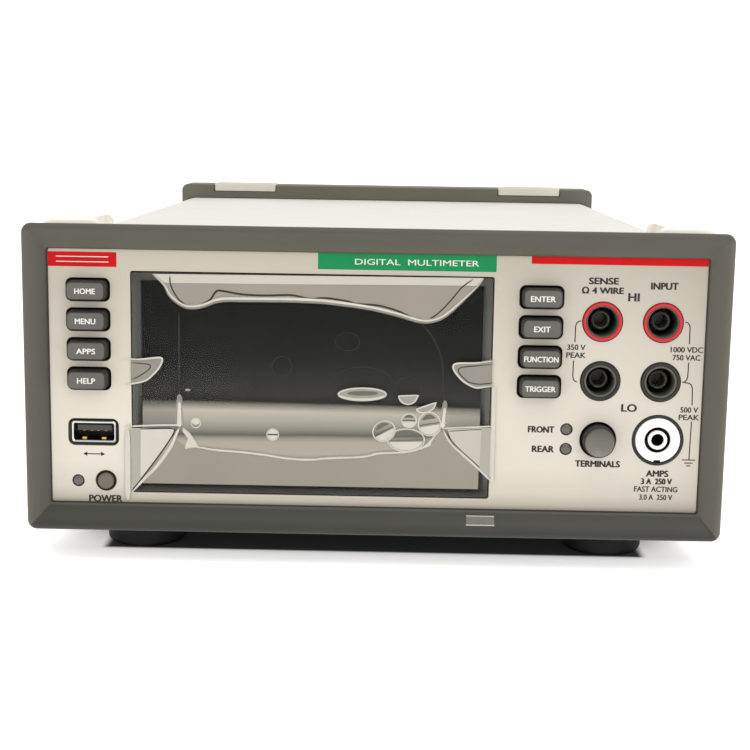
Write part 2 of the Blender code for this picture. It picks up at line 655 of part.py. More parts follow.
def rear_panel():
    zc = (CASE_BOT + CASE_TOP) / 2
    y0, y1 = REAR_PANEL_Y, REAR_PANEL_Y + REAR_PANEL_T
    bm = prism_y(rounded(106.2, (CASE_TOP - CASE_BOT) / 2 - 0.3, 1.2, 2, 0, zc), y0, y1)
    a, b = y0 - 3, y1 + 3
    g = GAP
    cuts = [
        block(77.0 - BLOCK_HX - g, 77.0 + BLOCK_HX + g, a, b, BLOCK_Z0 - g, BLOCK_Z1 + g),
        block(INLET_X - 14.0 - g, INLET_X + 14.0 + g, a, b, 22.5 - g, 57.5 + g),
        block(LAN[0] - 8.0 - g, LAN[0] + 8.0 + g, a, b, LAN[1] - 6.8 - g, LAN[1] + 6.8 + g),
        block(USB_B[0] - 6.0 - g, USB_B[0] + 6.0 + g, a, b, USB_B[1] - 5.5 - g, USB_B[1] + 5.5 + g),
        block(SLOT_COVER[0] + 5, SLOT_COVER[1] - 5, a, b, SLOT_COVER[2] + 3, SLOT_COVER[3] - 3),
        block(COMM_COVER[0] + 6, COMM_COVER[1] - 6, a, b, COMM_COVER[2] + 2.5, COMM_COVER[3] - 2.5),
        prism_y(circle(2.0, 16, GROUND[0], GROUND[1], pi / 16), a, b),
    ]
    for _, x, z in BNC:
        cuts.append(prism_y(circle(4.9, 16, x, z, pi / 16), a, b))
    for k in range(6):
        zz = 67.0 + k * 5.0
        cuts.append(block(-100.0, -68.0, a, b, zz - 1.2, zz + 1.2))
    bm = boolean(bm, [merged(cuts)])
    finish("rear_panel", bm, MATS["cover_paint"])


def rear_terminals():
    y1 = REAR_PANEL_Y + REAR_PANEL_T
    zc = (BLOCK_Z0 + BLOCK_Z1) / 2
    hz = (BLOCK_Z1 - BLOCK_Z0) / 2
    bm = loft([
        along_y(rounded(BLOCK_HX, hz, 1.0, 1, 77.0, zc), y1 - 15.0),
        along_y(rounded(BLOCK_HX, hz, 1.0, 1, 77.0, zc), y1 + GAP),
        along_y(rounded(BLOCK_HX + 2.5, hz + 2.5, 2.0, 1, 77.0, zc), y1 + GAP),
        along_y(rounded(BLOCK_HX + 2.5, hz + 2.5, 2.0, 1, 77.0, zc), y1 + 2.4),
    ])
    bosses = []
    for x, z in REAR_JACKS:
        bosses.append(turned([(0, y1 - 2.0), (6.4, y1 - 2.0), (6.4, y1 + 5.0), (0, y1 + 5.0)],
                             x, z, 12))
    bm = boolean(bm, [merged(bosses)], "UNION")
    holes = []
    for x, z in REAR_JACKS:
        holes.append(turned_cup_tool(x, z, y1))
    bm = boolean(bm, [merged(holes)])
    finish("rear_terminal_block", bm, MATS["rear_black"], smooth=True)


def turned_cup_tool(x, z, y1):
    """Cutter for a shrouded socket: a plain blind well for the plug and its shroud."""
    return turned([(0, y1 + 8.0), (JACK_CAVITY_R, y1 + 8.0), (JACK_CAVITY_R, y1 - 12.0),
                   (0, y1 - 12.0)], x, z, 12)


def inlet():
    y1 = REAR_PANEL_Y + REAR_PANEL_T
    hz = (57.5 - 22.5) / 2
    zc = (57.5 + 22.5) / 2
    bm = loft([
        along_y(rounded(14.0, hz, 1.0, 3, INLET_X, zc), y1 - 38.0),
        along_y(rounded(14.0, hz, 1.0, 3, INLET_X, zc), y1 + GAP),
        along_y(rounded(24.5, hz + 2.2, 5.0, 3, INLET_X, zc), y1 + GAP),
        along_y(rounded(24.5, hz + 2.2, 5.0, 3, INLET_X, zc), y1 + 2.4),
        along_y(rounded(24.0, hz + 1.7, 4.6, 3, INLET_X, zc), y1 + 2.9),
    ])
    recess_pts = [(-12.3, -5.0), (-9.0, -8.3), (9.0, -8.3), (12.3, -5.0), (12.3, 8.3), (-12.3, 8.3)]
    recess = prism_y([(INLET_X + px, INLET_Z + pz) for px, pz in recess_pts], y1 - 13.5, y1 + 6)
    pocket = block(INLET_X - 11.3, INLET_X + 11.3, y1 - 36.0, y1 + 6, DRAWER_Z - 5.3, DRAWER_Z + 5.3)
    ears = [prism_y(circle(1.7, 14, INLET_X + s * 20.0, zc, pi / 14), y1 - 3, y1 + 6)
            for s in (-1, 1)]
    bm = boolean(bm, [merged([recess, pocket] + ears)])
    finish("mains_inlet", bm, MATS["rear_black"])
    drawer = boolean(
        loft([
            along_y(rounded(10.9, 4.9, 0.8, 2, INLET_X, DRAWER_Z), y1 - 35.5),
            along_y(rounded(10.9, 4.9, 0.8, 2, INLET_X, DRAWER_Z), y1 + 3.6),
            along_y(rounded(10.4, 4.4, 0.6, 2, INLET_X, DRAWER_Z), y1 + 4.2),
        ]),
        [block(INLET_X - 9.0, INLET_X + 9.0, y1 - 32.0, y1 - 2.0, DRAWER_Z - 3.2, DRAWER_Z + 8.0)])
    finish("mains_fuse_drawer", drawer, MATS["rear_black"], origin=(INLET_X, y1, DRAWER_Z))
    fuse = turned([(0, y1 - 27.0), (2.6, y1 - 27.0), (2.6, y1 - 7.0), (0, y1 - 7.0)],
                  INLET_X, DRAWER_Z - 0.2, N_SMALL)
    finish("mains_fuse", fuse, MATS["fuse_glass"], smooth=True, origin=(INLET_X, y1, DRAWER_Z))


def rear_ports():
    y1 = REAR_PANEL_Y + REAR_PANEL_T
    x, z = LAN
    shell = soft_prism_y(8.0, 6.8, 0.6, 2, x, z, y1 - 13.0, y1 + 1.2)
    hole = prism_y([(x + px, z + pz) for px, pz in
                    ((-5.9, -4.2), (-3.2, -4.2), (-3.2, -5.6), (3.2, -5.6), (3.2, -4.2), (5.9, -4.2),
                     (5.9, 4.2), (-5.9, 4.2))], y1 - 11.5, y1 + 4)
    finish("lan_port", boolean(shell, [hole]), MATS["nickel"])
    x, z = USB_B
    shell = soft_prism_y(6.0, 5.5, 0.6, 2, x, z, y1 - 13.0, y1 + 1.0)
    hole = boolean(prism_y([(x + px, z + pz) for px, pz in
                            ((-4.3, -4.0), (4.3, -4.0), (4.3, 2.3), (2.7, 4.0), (-2.7, 4.0),
                             (-4.3, 2.3))], y1 - 10.0, y1 + 4),
                   [block(x - 2.8, x + 2.8, y1 - 12.0, y1 - 0.6, z - 1.5, z + 1.5)])
    finish("usb_b_port", boolean(shell, [hole]), MATS["nickel"])
    for name, bx, bz in BNC:
        prof = [(4.0, y1 + 13.0), (4.8, y1 + 13.0), (4.8, y1 + 2.6), (7.0, y1 + 2.6),
                (7.0, y1 + GAP), (4.6, y1 + GAP), (4.6, y1 - 9.0), (0, y1 - 9.0), (0, y1 + 8.5),
                (1.0, y1 + 8.0), (1.0, y1 + 2.0), (4.0, y1 + 2.0)]
        finish("bnc_" + name, turned_cup(prof, bx, bz, 16), MATS["nickel"], smooth=True)
    x0, x1, z0, z1 = SLOT_COVER
    plate = loft([
        along_y(rounded((x1 - x0) / 2, (z1 - z0) / 2, 1.5, 3, (x0 + x1) / 2, (z0 + z1) / 2), y1 + GAP),
        along_y(rounded((x1 - x0) / 2, (z1 - z0) / 2, 1.5, 3, (x0 + x1) / 2, (z0 + z1) / 2), y1 + 1.5),
    ])
    finish("card_slot_cover", plate, MATS["nickel"])
    x0, x1, z0, z1 = COMM_COVER
    plate = loft([
        along_y(rounded((x1 - x0) / 2, (z1 - z0) / 2, 1.5, 3, (x0 + x1) / 2, (z0 + z1) / 2), y1 + GAP),
        along_y(rounded((x1 - x0) / 2, (z1 - z0) / 2, 1.5, 3, (x0 + x1) / 2, (z0 + z1) / 2), y1 + 1.5),
    ])
    finish("interface_slot_cover", plate, MATS["nickel"])
    gx, gz = GROUND
    prof = [(0, y1 + 4.0), (2.6, y1 + 3.6), (3.4, y1 + 2.6), (3.4, y1 + GAP), (1.7, y1 + GAP),
            (1.7, y1 - 6.0), (0, y1 - 6.0)]
    finish("ground_screw", turned(prof, gx, gz, N_SMALL), MATS["nickel"], smooth=True)


# --------------------------------------------------------------------------- build
clear()
materials()
front_bumper()
rear_bumper()
corner_lugs()
case_cover()
base_tray()
feet()
front_panel()
display()
front_board()
keys()
jacks()
amps()
buttons()
leds()
usb_front()
innards()
rear_panel()
rear_terminals()
inlet()
rear_ports()
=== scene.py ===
"""Looks of the bench multimeter.

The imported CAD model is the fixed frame.  Finer pieces stand for the nodes that show, each
riding on the body of the node it stands for.  Lengths in the helpers are millimetres in the
frame's axes: +Z up, the front faces -Y, +X to the right of someone reading the display.
"""
import json
from math import cos, sin, pi, radians, atan2, hypot

import bmesh
import bpy
from mathutils import Matrix, Vector

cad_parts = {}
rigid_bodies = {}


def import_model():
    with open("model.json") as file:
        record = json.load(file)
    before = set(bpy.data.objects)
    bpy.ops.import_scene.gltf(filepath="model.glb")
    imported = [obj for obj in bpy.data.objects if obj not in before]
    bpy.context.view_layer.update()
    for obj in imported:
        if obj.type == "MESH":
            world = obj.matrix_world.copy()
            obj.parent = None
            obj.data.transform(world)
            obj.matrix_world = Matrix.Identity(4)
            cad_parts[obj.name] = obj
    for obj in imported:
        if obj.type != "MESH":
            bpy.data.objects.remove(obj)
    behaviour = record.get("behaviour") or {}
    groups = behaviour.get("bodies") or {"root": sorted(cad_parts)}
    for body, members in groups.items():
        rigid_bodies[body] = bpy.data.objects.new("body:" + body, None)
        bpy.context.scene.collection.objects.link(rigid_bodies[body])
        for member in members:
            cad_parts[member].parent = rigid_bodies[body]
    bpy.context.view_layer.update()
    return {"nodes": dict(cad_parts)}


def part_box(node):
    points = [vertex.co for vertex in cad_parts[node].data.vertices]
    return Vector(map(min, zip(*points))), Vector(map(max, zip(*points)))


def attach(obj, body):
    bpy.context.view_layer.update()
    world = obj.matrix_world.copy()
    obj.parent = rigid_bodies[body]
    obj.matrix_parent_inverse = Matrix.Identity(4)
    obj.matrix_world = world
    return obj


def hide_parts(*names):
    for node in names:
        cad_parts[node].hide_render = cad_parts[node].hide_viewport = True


for _o in list(bpy.data.objects):
    bpy.data.objects.remove(_o, do_unlink=True)

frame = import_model()
NODES = frame["nodes"]
MM = 0.001


def where(node):
    lo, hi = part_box(node)
    return lo / MM, hi / MM


# ------------------------------------------------------------------ reference sizes (mm)
FRONT = where("front_bumper")[0].y               # face of the front bumper
BACK = where("rear_bumper")[1].y
PANEL = where("front_panel")[0].y                # surface of the front panel
REAR = where("rear_panel")[1].y                  # surface of the rear panel
Z0 = where("front_bumper")[0].z                  # underside and top of the bumpers
Z1 = where("front_bumper")[1].z
HW = where("front_bumper")[1].x                  # half width over the bumpers
GAP = 0.3


def mid(node):
    lo, hi = where(node)
    return (lo.x + hi.x) / 2, (lo.z + hi.z) / 2


# ------------------------------------------------------------------ colour
def lin(c):
    c = c / 255.0
    return c / 12.92 if c <= 0.04045 else ((c + 0.055) / 1.055) ** 2.4


TONE = 0.77                                      # finish values are set for this studio's light level


def rgb(r, g, b, k=None):
    k = TONE if k is None else k
    return (min(1.0, lin(r) * k), min(1.0, lin(g) * k), min(1.0, lin(b) * k), 1.0)


class Nodes:
    """Small helper round one material's node tree."""

    def __init__(self, name):
        self.mat = bpy.data.materials.new(name)
        self.mat.use_nodes = True
        self.t = self.mat.node_tree
        self.p = self.t.nodes["Principled BSDF"]
        self.coord = self.t.nodes.new("ShaderNodeTexCoord").outputs["Object"]

    def link(self, a, b):
        self.t.links.new(a, b)

    def noise(self, scale, detail=3.0, rough=0.55, stretch=None, distortion=0.0):
        src = self.coord
        if stretch:
            m = self.t.nodes.new("ShaderNodeMapping")
            m.inputs["Scale"].default_value = stretch
            self.link(src, m.inputs["Vector"])
            src = m.outputs["Vector"]
        n = self.t.nodes.new("ShaderNodeTexNoise")
        n.inputs["Scale"].default_value = scale
        n.inputs["Detail"].default_value = detail
        n.inputs["Roughness"].default_value = rough
        n.inputs["Distortion"].default_value = distortion
        self.link(src, n.inputs["Vector"])
        return n.outputs["Fac"]

    def voronoi(self, scale, feature="F1"):
        n = self.t.nodes.new("ShaderNodeTexVoronoi")
        n.feature = feature
        n.inputs["Scale"].default_value = scale
        self.link(self.coord, n.inputs["Vector"])
        return n.outputs["Distance"]

    def ramp(self, fac, stops, ease="LINEAR"):
        r = self.t.nodes.new("ShaderNodeValToRGB")
        r.color_ramp.interpolation = ease
        e = r.color_ramp.elements
        while len(e) < len(stops):
            e.new(0.5)
        for i, (pos, col) in enumerate(stops):
            e[i].position = pos
            e[i].color = col
        self.link(fac, r.inputs["Fac"])
        return r.outputs["Color"]

    def axis(self, which, lo, hi):
        """0 to 1 along an object axis between lo and hi millimetres."""
        s = self.t.nodes.new("ShaderNodeSeparateXYZ")
        self.link(self.coord, s.inputs[0])
        m = self.t.nodes.new("ShaderNodeMapRange")
        m.inputs["From Min"].default_value = lo * MM
        m.inputs["From Max"].default_value = hi * MM
        self.link(s.outputs[which], m.inputs["Value"])
        return m.outputs["Result"]

    def mix(self, fac, a, b, mode="MIX"):
        m = self.t.nodes.new("ShaderNodeMix")
        m.data_type = "RGBA"
        m.blend_type = mode
        if isinstance(fac, float):
            m.inputs["Factor"].default_value = fac
        else:
            self.link(fac, m.inputs["Factor"])
        for v, i in ((a, 6), (b, 7)):
            if isinstance(v, tuple):
                m.inputs[i].default_value = v
            else:
                self.link(v, m.inputs[i])
        return m.outputs[2]

    def spread(self, fac, lo, hi):
        m = self.t.nodes.new("ShaderNodeMapRange")
        m.inputs["From Min"].default_value = 0.25
        m.inputs["From Max"].default_value = 0.75
        m.inputs["To Min"].default_value = lo
        m.inputs["To Max"].default_value = hi
        self.link(fac, m.inputs["Value"])
        return m.outputs["Result"]

    def maths(self, op, a, b):
        m = self.t.nodes.new("ShaderNodeMath")
        m.operation = op
        for v, i in ((a, 0), (b, 1)):
            if isinstance(v, (int, float)):
                m.inputs[i].default_value = v
            else:
                self.link(v, m.inputs[i])
        return m.outputs[0]

    def bump(self, height, strength, distance):
        b = self.t.nodes.new("ShaderNodeBump")
        b.inputs["Strength"].default_value = strength
        b.inputs["Distance"].default_value = distance * MM
        self.link(height, b.inputs["Height"])
        self.link(b.outputs["Normal"], self.p.inputs["Normal"])


MATS = {}


def surface(name, colour, rough, metal=0.0, spec=0.5, vary=0.05, patch=45.0, grain=0.0,
            grain_size=0.35, rough_vary=0.06, coat=0.0, alpha=1.0, stretch=None, wear=None, tone=TONE):
    """A plain finish: slow colour drift, fine grain, uneven roughness and a fine relief."""
    if name in MATS:
        return MATS[name]
    n = Nodes(name)
    slow = n.noise(patch, 4.0, 0.6, stretch)
    fine = n.noise(1000.0 / grain_size, 2.0, 0.6, stretch)
    r, g, b = (lin(c) * tone for c in colour)
    lo = (r * (1 - vary), g * (1 - vary), b * (1 - vary * 1.1), 1.0)
    hi = (min(1, r * (1 + vary)), min(1, g * (1 + vary)), min(1, b * (1 + vary * 0.9)), 1.0)
    col = n.ramp(slow, [(0.3, lo), (0.7, hi)])
    speck = n.ramp(fine, [(0.3, (0.93, 0.93, 0.93, 1)), (0.7, (1.0, 1.0, 1.0, 1))])
    col = n.mix(0.6, col, speck, "MULTIPLY")
    if wear:
        geo = n.t.nodes.new("ShaderNodeNewGeometry")
        edge = n.ramp(geo.outputs["Pointiness"], [(0.505, (0, 0, 0, 1)), (0.56, (1, 1, 1, 1))])
        patchy = n.ramp(n.noise(180.0, 4.0, 0.7), [(0.42, (0, 0, 0, 1)), (0.62, (1, 1, 1, 1))])
        both = n.mix(1.0, edge, patchy, "MULTIPLY")
        col = n.mix(both, col, rgb(*wear))
    n.link(col, n.p.inputs["Base Color"])
    n.link(n.spread(n.noise(patch * 3.0, 3.0, 0.6, stretch), rough - rough_vary, rough + rough_vary),
           n.p.inputs["Roughness"])
    n.p.inputs["Metallic"].default_value = metal
    n.p.inputs["Specular IOR Level"].default_value = spec
    if coat:
        n.p.inputs["Coat Weight"].default_value = coat
        n.p.inputs["Coat Roughness"].default_value = 0.12
    if alpha < 1.0:
        n.p.inputs["Alpha"].default_value = alpha
    if grain:
        n.bump(fine, grain, 0.05)
    n.mat.diffuse_color = (*[lin(c) for c in colour], 1.0)
    MATS[name] = n.mat
    return n.mat


# ------------------------------------------------------------------ mesh helpers
def finish(name, bm, material, body="chassis", stands_for=(), smooth=35.0,
           bevel=0.0, segments=2, bevel_angle=40.0):
    """A bmesh in millimetres becomes a named piece that rides on its body."""
    bmesh.ops.recalc_face_normals(bm, faces=bm.faces)
    for v in bm.verts:
        v.co = v.co * MM
    me = bpy.data.meshes.new(name)
    bm.to_mesh(me)
    bm.free()
    ob = bpy.data.objects.new(name, me)
    bpy.context.scene.collection.objects.link(ob)
    me.materials.append(material)
    if smooth:
        me.shade_smooth()
        me.set_sharp_from_angle(angle=radians(smooth))
    if bevel:
        m = ob.modifiers.new("edge_break", "BEVEL")
        m.width = bevel * MM
        m.segments = segments
        m.limit_method = "ANGLE"
        m.angle_limit = radians(bevel_angle)
        m.harden_normals = False
    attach(ob, body)
    if stands_for:
        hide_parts(*stands_for)
    return ob


def rounded(hx, hz, r, n, cx=0.0, cz=0.0):
    pts = []
    for sx, sz, a0 in ((1, 1, 0), (-1, 1, 90), (-1, -1, 180), (1, -1, 270)):
        for i in range(n + 1):
            a = radians(a0 + 90.0 * i / n)
            pts.append((cx + sx * (hx - r) + r * cos(a), cz + sz * (hz - r) + r * sin(a)))
    return pts


def circle(r, n, cx=0.0, cz=0.0):
    return [(cx + r * cos(2 * pi * i / n), cz + r * sin(2 * pi * i / n)) for i in range(n)]


def at_y(points, y):
    return [(x, y, z) for x, z in points]


def loft(loops, ring=False, caps=True):
    bm = bmesh.new()
    rows = [[bm.verts.new(p) for p in loop] for loop in loops]
    n = len(rows[0])
    pairs = list(zip(rows[:-1], rows[1:]))
    if ring:
        pairs.append((rows[-1], rows[0]))
    for a, b in pairs:
        for i in range(n):
            j = (i + 1) % n
            bm.faces.new((a[i], a[j], b[j], b[i]))
    if not ring and caps:
        bm.faces.new(rows[0][::-1])
        bm.faces.new(rows[-1])
    bmesh.ops.recalc_face_normals(bm, faces=bm.faces)
    return bm


def turned(profile, cx, cz, n=48, closed=False, axis="Y"):
    bm = bmesh.new()

    def at(r, h, a):
        if axis == "Y":
            return (cx + r * cos(a), h, cz + r * sin(a))
        return (cx + r * cos(a), cz + r * sin(a), h)
    rows = []
    for r, h in profile:
        if r < 1e-6:
            rows.append([bm.verts.new(at(0, h, 0))])
        else:
            rows.append([bm.verts.new(at(r, h, 2 * pi * i / n)) for i in range(n)])
    pairs = list(zip(rows[:-1], rows[1:]))
    if closed:
        pairs.append((rows[-1], rows[0]))
    for a, b in pairs:
        if len(a) == 1 and len(b) == 1:
            continue
        for i in range(n):
            j = (i + 1) % n
            if len(a) == 1:
                bm.faces.new((a[0], b[j], b[i]))
            elif len(b) == 1:
                bm.faces.new((a[i], a[j], b[0]))
            else:
                bm.faces.new((a[i], a[j], b[j], b[i]))
    bmesh.ops.recalc_face_normals(bm, faces=bm.faces)
    return bm


def arc(cx, cy, r, a0, a1, n):
    """(radius, height) points of a quarter round or similar, angles in degrees."""
    return [(cx + r * cos(radians(a0 + (a1 - a0) * i / n)), cy + r * sin(radians(a0 + (a1 - a0) * i / n)))
            for i in range(n + 1)]


def block(x0, x1, y0, y1, z0, z1):
    bm = bmesh.new()
    v = [bm.verts.new((x, y, z)) for x in (x0, x1) for y in (y0, y1) for z in (z0, z1)]
    for f in ((0, 1, 3, 2), (4, 6, 7, 5), (0, 4, 5, 1), (2, 3, 7, 6), (0, 2, 6, 4), (1, 5, 7, 3)):
        bm.faces.new([v[i] for i in f])
    bmesh.ops.recalc_face_normals(bm, faces=bm.faces)
    return bm


def prism(points, y0, y1):
    return loft([at_y(points, y0), at_y(points, y1)])


def join(bms):
    out = bmesh.new()
    for b in bms:
        me = bpy.data.meshes.new("tmp")
        b.to_mesh(me)
        b.free()
        out.from_mesh(me)
        bpy.data.meshes.remove(me)
    return out


def boolean(base, tools, operation="DIFFERENCE"):
    def temp(bm, name):
        bmesh.ops.recalc_face_normals(bm, faces=bm.faces)
        me = bpy.data.meshes.new(name)
        bm.to_mesh(me)
        bm.free()
        ob = bpy.data.objects.new(name, me)
        bpy.context.scene.collection.objects.link(ob)
        return ob
    body = temp(base, "cut_body")
    helpers = []
    for i, t in enumerate(tools):
        tool = temp(t, "cut_tool_%d" % i)
        helpers.append(tool)
        m = body.modifiers.new("cut_%d" % i, "BOOLEAN")
        m.operation = operation
        m.solver = "EXACT"
        m.object = tool
    deps = bpy.context.evaluated_depsgraph_get()
    me = bpy.data.meshes.new_from_object(body.evaluated_get(deps))
    out = bmesh.new()
    out.from_mesh(me)
    bpy.data.meshes.remove(me)
    for ob in [body] + helpers:
        m = ob.data
        bpy.data.objects.remove(ob, do_unlink=True)
        bpy.data.meshes.remove(m)
    bmesh.ops.remove_doubles(out, verts=out.verts, dist=0.0005)
    bmesh.ops.dissolve_limit(out, angle_limit=radians(0.05), verts=out.verts, edges=out.edges)
    return out


def spline(pts, per=6, closed=False):
    """Catmull-Rom points through pts."""
    n = len(pts)
    out = []
    span = n if closed else n - 1
    for i in range(span):
        p1, p2 = pts[i], pts[(i + 1) % n]
        p0 = pts[(i - 1) % n] if closed or i > 0 else p1
        p3 = pts[(i + 2) % n] if closed or i + 2 < n else p2
        for k in range(per):
            t = k / per
            out.append(tuple(0.5 * (2 * p1[c] + (p2[c] - p0[c]) * t
                                    + (2 * p0[c] - 5 * p1[c] + 4 * p2[c] - p3[c]) * t * t
                                    + (3 * p1[c] - p0[c] - 3 * p2[c] + p3[c]) * t ** 3)
                             for c in range(2)))
    if not closed:
        out.append(tuple(pts[-1]))
    return out


def ribbon(pts, width, y, rise=0.05, per=6, closed=False, taper=True, sides=3):
    """A low rounded ridge along a smooth line on a plane of constant y; it rises towards -y."""
    line = spline(pts, per, closed)
    n = len(line)
    bm = bmesh.new()
    rows = []
    for i, (x, z) in enumerate(line):
        a = line[(i - 1) % n] if closed or i > 0 else line[i]
        b = line[(i + 1) % n] if closed or i < n - 1 else line[i]
        dx, dz = b[0] - a[0], b[1] - a[1]
        d = hypot(dx, dz) or 1.0
        nx, nz = -dz / d, dx / d
        t = i / (n - 1) if n > 1 else 0
        w = width(t) if callable(width) else width
        if taper and not closed:
            w *= min(1.0, 0.25 + 6 * t, 0.25 + 6 * (1 - t))
        row = [bm.verts.new((x - nx * w / 2, y, z - nz * w / 2))]
        for k in range(1, sides):
            s = k / sides
            row.append(bm.verts.new((x + nx * w * (s - 0.5), y - rise * sin(pi * s), z + nz * w * (s - 0.5))))
        row.append(bm.verts.new((x + nx * w / 2, y, z + nz * w / 2)))
        rows.append(row)
    pairs = list(zip(rows[:-1], rows[1:]))
    if closed:
        pairs.append((rows[-1], rows[0]))
    m = len(rows[0])
    for a, b in pairs:
        for i in range(m):
            j = (i + 1) % m
            bm.faces.new((a[i], a[j], b[j], b[i]))
    if not closed:
        bm.faces.new(rows[0][::-1])
        bm.faces.new(rows[-1])
    bmesh.ops.recalc_face_normals(bm, faces=bm.faces)
    return bm


def ellipse(cx, cz, rx, rz, tilt=0.0, n=28, a0=0.0, a1=360.0):
    out = []
    full = abs(a1 - a0) >= 360
    m = n if full else n + 1
    for i in range(m):
        a = radians(a0 + (a1 - a0) * i / n)
        x, z = rx * cos(a), rz * sin(a)
        c, s = cos(radians(tilt)), sin(radians(tilt))
        out.append((cx + x * c - z * s, cz + x * s + z * c))
    return out


def sheet(points, y, t=0.04):
    return prism(points, y - t, y)


def words(text, cx, cz, width, height, y, depth=0.02, bold=0.0, flip=False, twin=0.0):
    """Lettering as a thin solid, fitted to a width and a height round a centre."""
    cu = bpy.data.curves.new("text", "FONT")
    cu.body = text
    cu.extrude = 0.02
    cu.offset = bold
    cu.resolution_u = 3
    ob = bpy.data.objects.new("text", cu)
    bpy.context.scene.collection.objects.link(ob)
    deps = bpy.context.evaluated_depsgraph_get()
    me = bpy.data.meshes.new_from_object(ob.evaluated_get(deps))
    bm = bmesh.new()
    bm.from_mesh(me)
    bpy.data.objects.remove(ob, do_unlink=True)
    bpy.data.curves.remove(cu)
    bpy.data.meshes.remove(me)
    xs = [v.co.x for v in bm.verts]
    ys = [v.co.y for v in bm.verts]
    x0, x1, y0, y1 = min(xs), max(xs), min(ys), max(ys)
    sx, sz = width / (x1 - x0), height / (y1 - y0)
    turn = -1.0 if flip else 1.0
    for v in bm.verts:
        px = (v.co.x - (x0 + x1) / 2) * sx * turn
        pz = (v.co.y - (y0 + y1) / 2) * sz
        front = v.co.z > 0
        v.co = Vector((cx + px, (y - depth if front else y) if not flip else (y + depth if front else y), cz + pz))
    bmesh.ops.remove_doubles(bm, verts=bm.verts, dist=0.0005)
    bmesh.ops.dissolve_degenerate(bm, dist=0.0002, edges=bm.edges)
    if twin:
        # three passes of ink, each just in front of the last, for a heavier stroke
        out = -1.0 if not flip else 1.0
        layers = []
        for k, (dx, dz) in enumerate(((-1.0, -0.35), (1.0, -0.35), (0.0, 0.55))):
            layer = bm.copy()
            for v in layer.verts:
                v.co.x += dx * twin
                v.co.z += dz * twin
                v.co.y += out * k * (depth + 0.003)
            layers.append(layer)
        bm.free()
        return join(layers)
    return bm


# ------------------------------------------------------------------ materials
def bumper_band_shade_material():
    n = Nodes("moulded_bumper")
    s = n.t.nodes.new("ShaderNodeSeparateXYZ")
    n.link(n.coord, s.inputs[0])
    ax = n.maths("ABSOLUTE", s.outputs["X"], 0.0)
    # the four bands meet on mitres; each band's grey is painted shade for the way it faces the light: darker bottom
    # band, lighter outer ends on the sides
    low = n.maths("SUBTRACT", n.maths("MULTIPLY", n.maths("SUBTRACT", 0.110, ax), 1.157),
                  n.maths("SUBTRACT", s.outputs["Z"], 0.0101))
    low = n.maths("MINIMUM", low, n.maths("SUBTRACT", 0.058, s.outputs["Z"]))
    high = n.maths("SUBTRACT", n.maths("MULTIPLY", n.maths("SUBTRACT", 0.110, ax), 1.13),
                   n.maths("SUBTRACT", 0.1074, s.outputs["Z"]))
    high = n.maths("MINIMUM", high, n.maths("SUBTRACT", s.outputs["Z"], 0.058))

    def edge(v):
        m = n.t.nodes.new("ShaderNodeMapRange")
        m.inputs["From Min"].default_value = -0.00015
        m.inputs["From Max"].default_value = 0.00015
        n.link(v, m.inputs["Value"])
        return m.outputs["Result"]
    side = n.ramp(n.axis("X", -110.0, 110.0), [(0.0, rgb(96, 92, 84)), (0.012, rgb(89, 87, 76)), (0.031, rgb(78, 77, 67)),
                                               (0.5, rgb(88, 86, 76)), (0.968, rgb(86, 84, 74)), (0.988, rgb(92, 89, 78)),
                                               (1.0, rgb(104, 98, 86))])
    top = n.ramp(n.axis("Z", 99.5, 107.4), [(0.0, rgb(93, 88, 76)), (0.35, rgb(83, 81, 71)), (1.0, rgb(80, 78, 69))])
    # painted shade on the bottom band, with a painted highlight line along its inner edge
    bottom = n.ramp(n.axis("Z", 10.1, 18.2), [(0.0, rgb(60, 60, 55)), (0.2, rgb(48, 48, 42)), (0.55, rgb(61, 61, 54)),
                                              (0.9, rgb(54, 54, 48)), (1.0, rgb(86, 87, 77))])
    col = n.mix(edge(high), side, top)
    col = n.mix(edge(low), col, bottom)
    drift = n.ramp(n.noise(26.0, 4.0, 0.6), [(0.3, (0.93, 0.93, 0.92, 1)), (0.7, (1.0, 1.0, 1.0, 1))])
    col = n.mix(1.0, col, drift, "MULTIPLY")
    fine = n.noise(2200.0, 2.0, 0.6)
    speck = n.ramp(fine, [(0.3, (0.9, 0.9, 0.9, 1)), (0.7, (1.0, 1.0, 1.0, 1))])
    col = n.mix(0.7, col, speck, "MULTIPLY")
    n.link(col, n.p.inputs["Base Color"])
    n.link(n.spread(n.noise(90.0), 0.42, 0.54), n.p.inputs["Roughness"])
    n.p.inputs["Specular IOR Level"].default_value = 0.42
    n.bump(fine, 0.35, 0.05)
    return n.mat


def paint_material():
    return surface("cover_paint", (247, 244, 237), 0.42, vary=0.02, patch=18.0, grain=0.45,
                   grain_size=0.9, spec=0.4, tone=0.73)


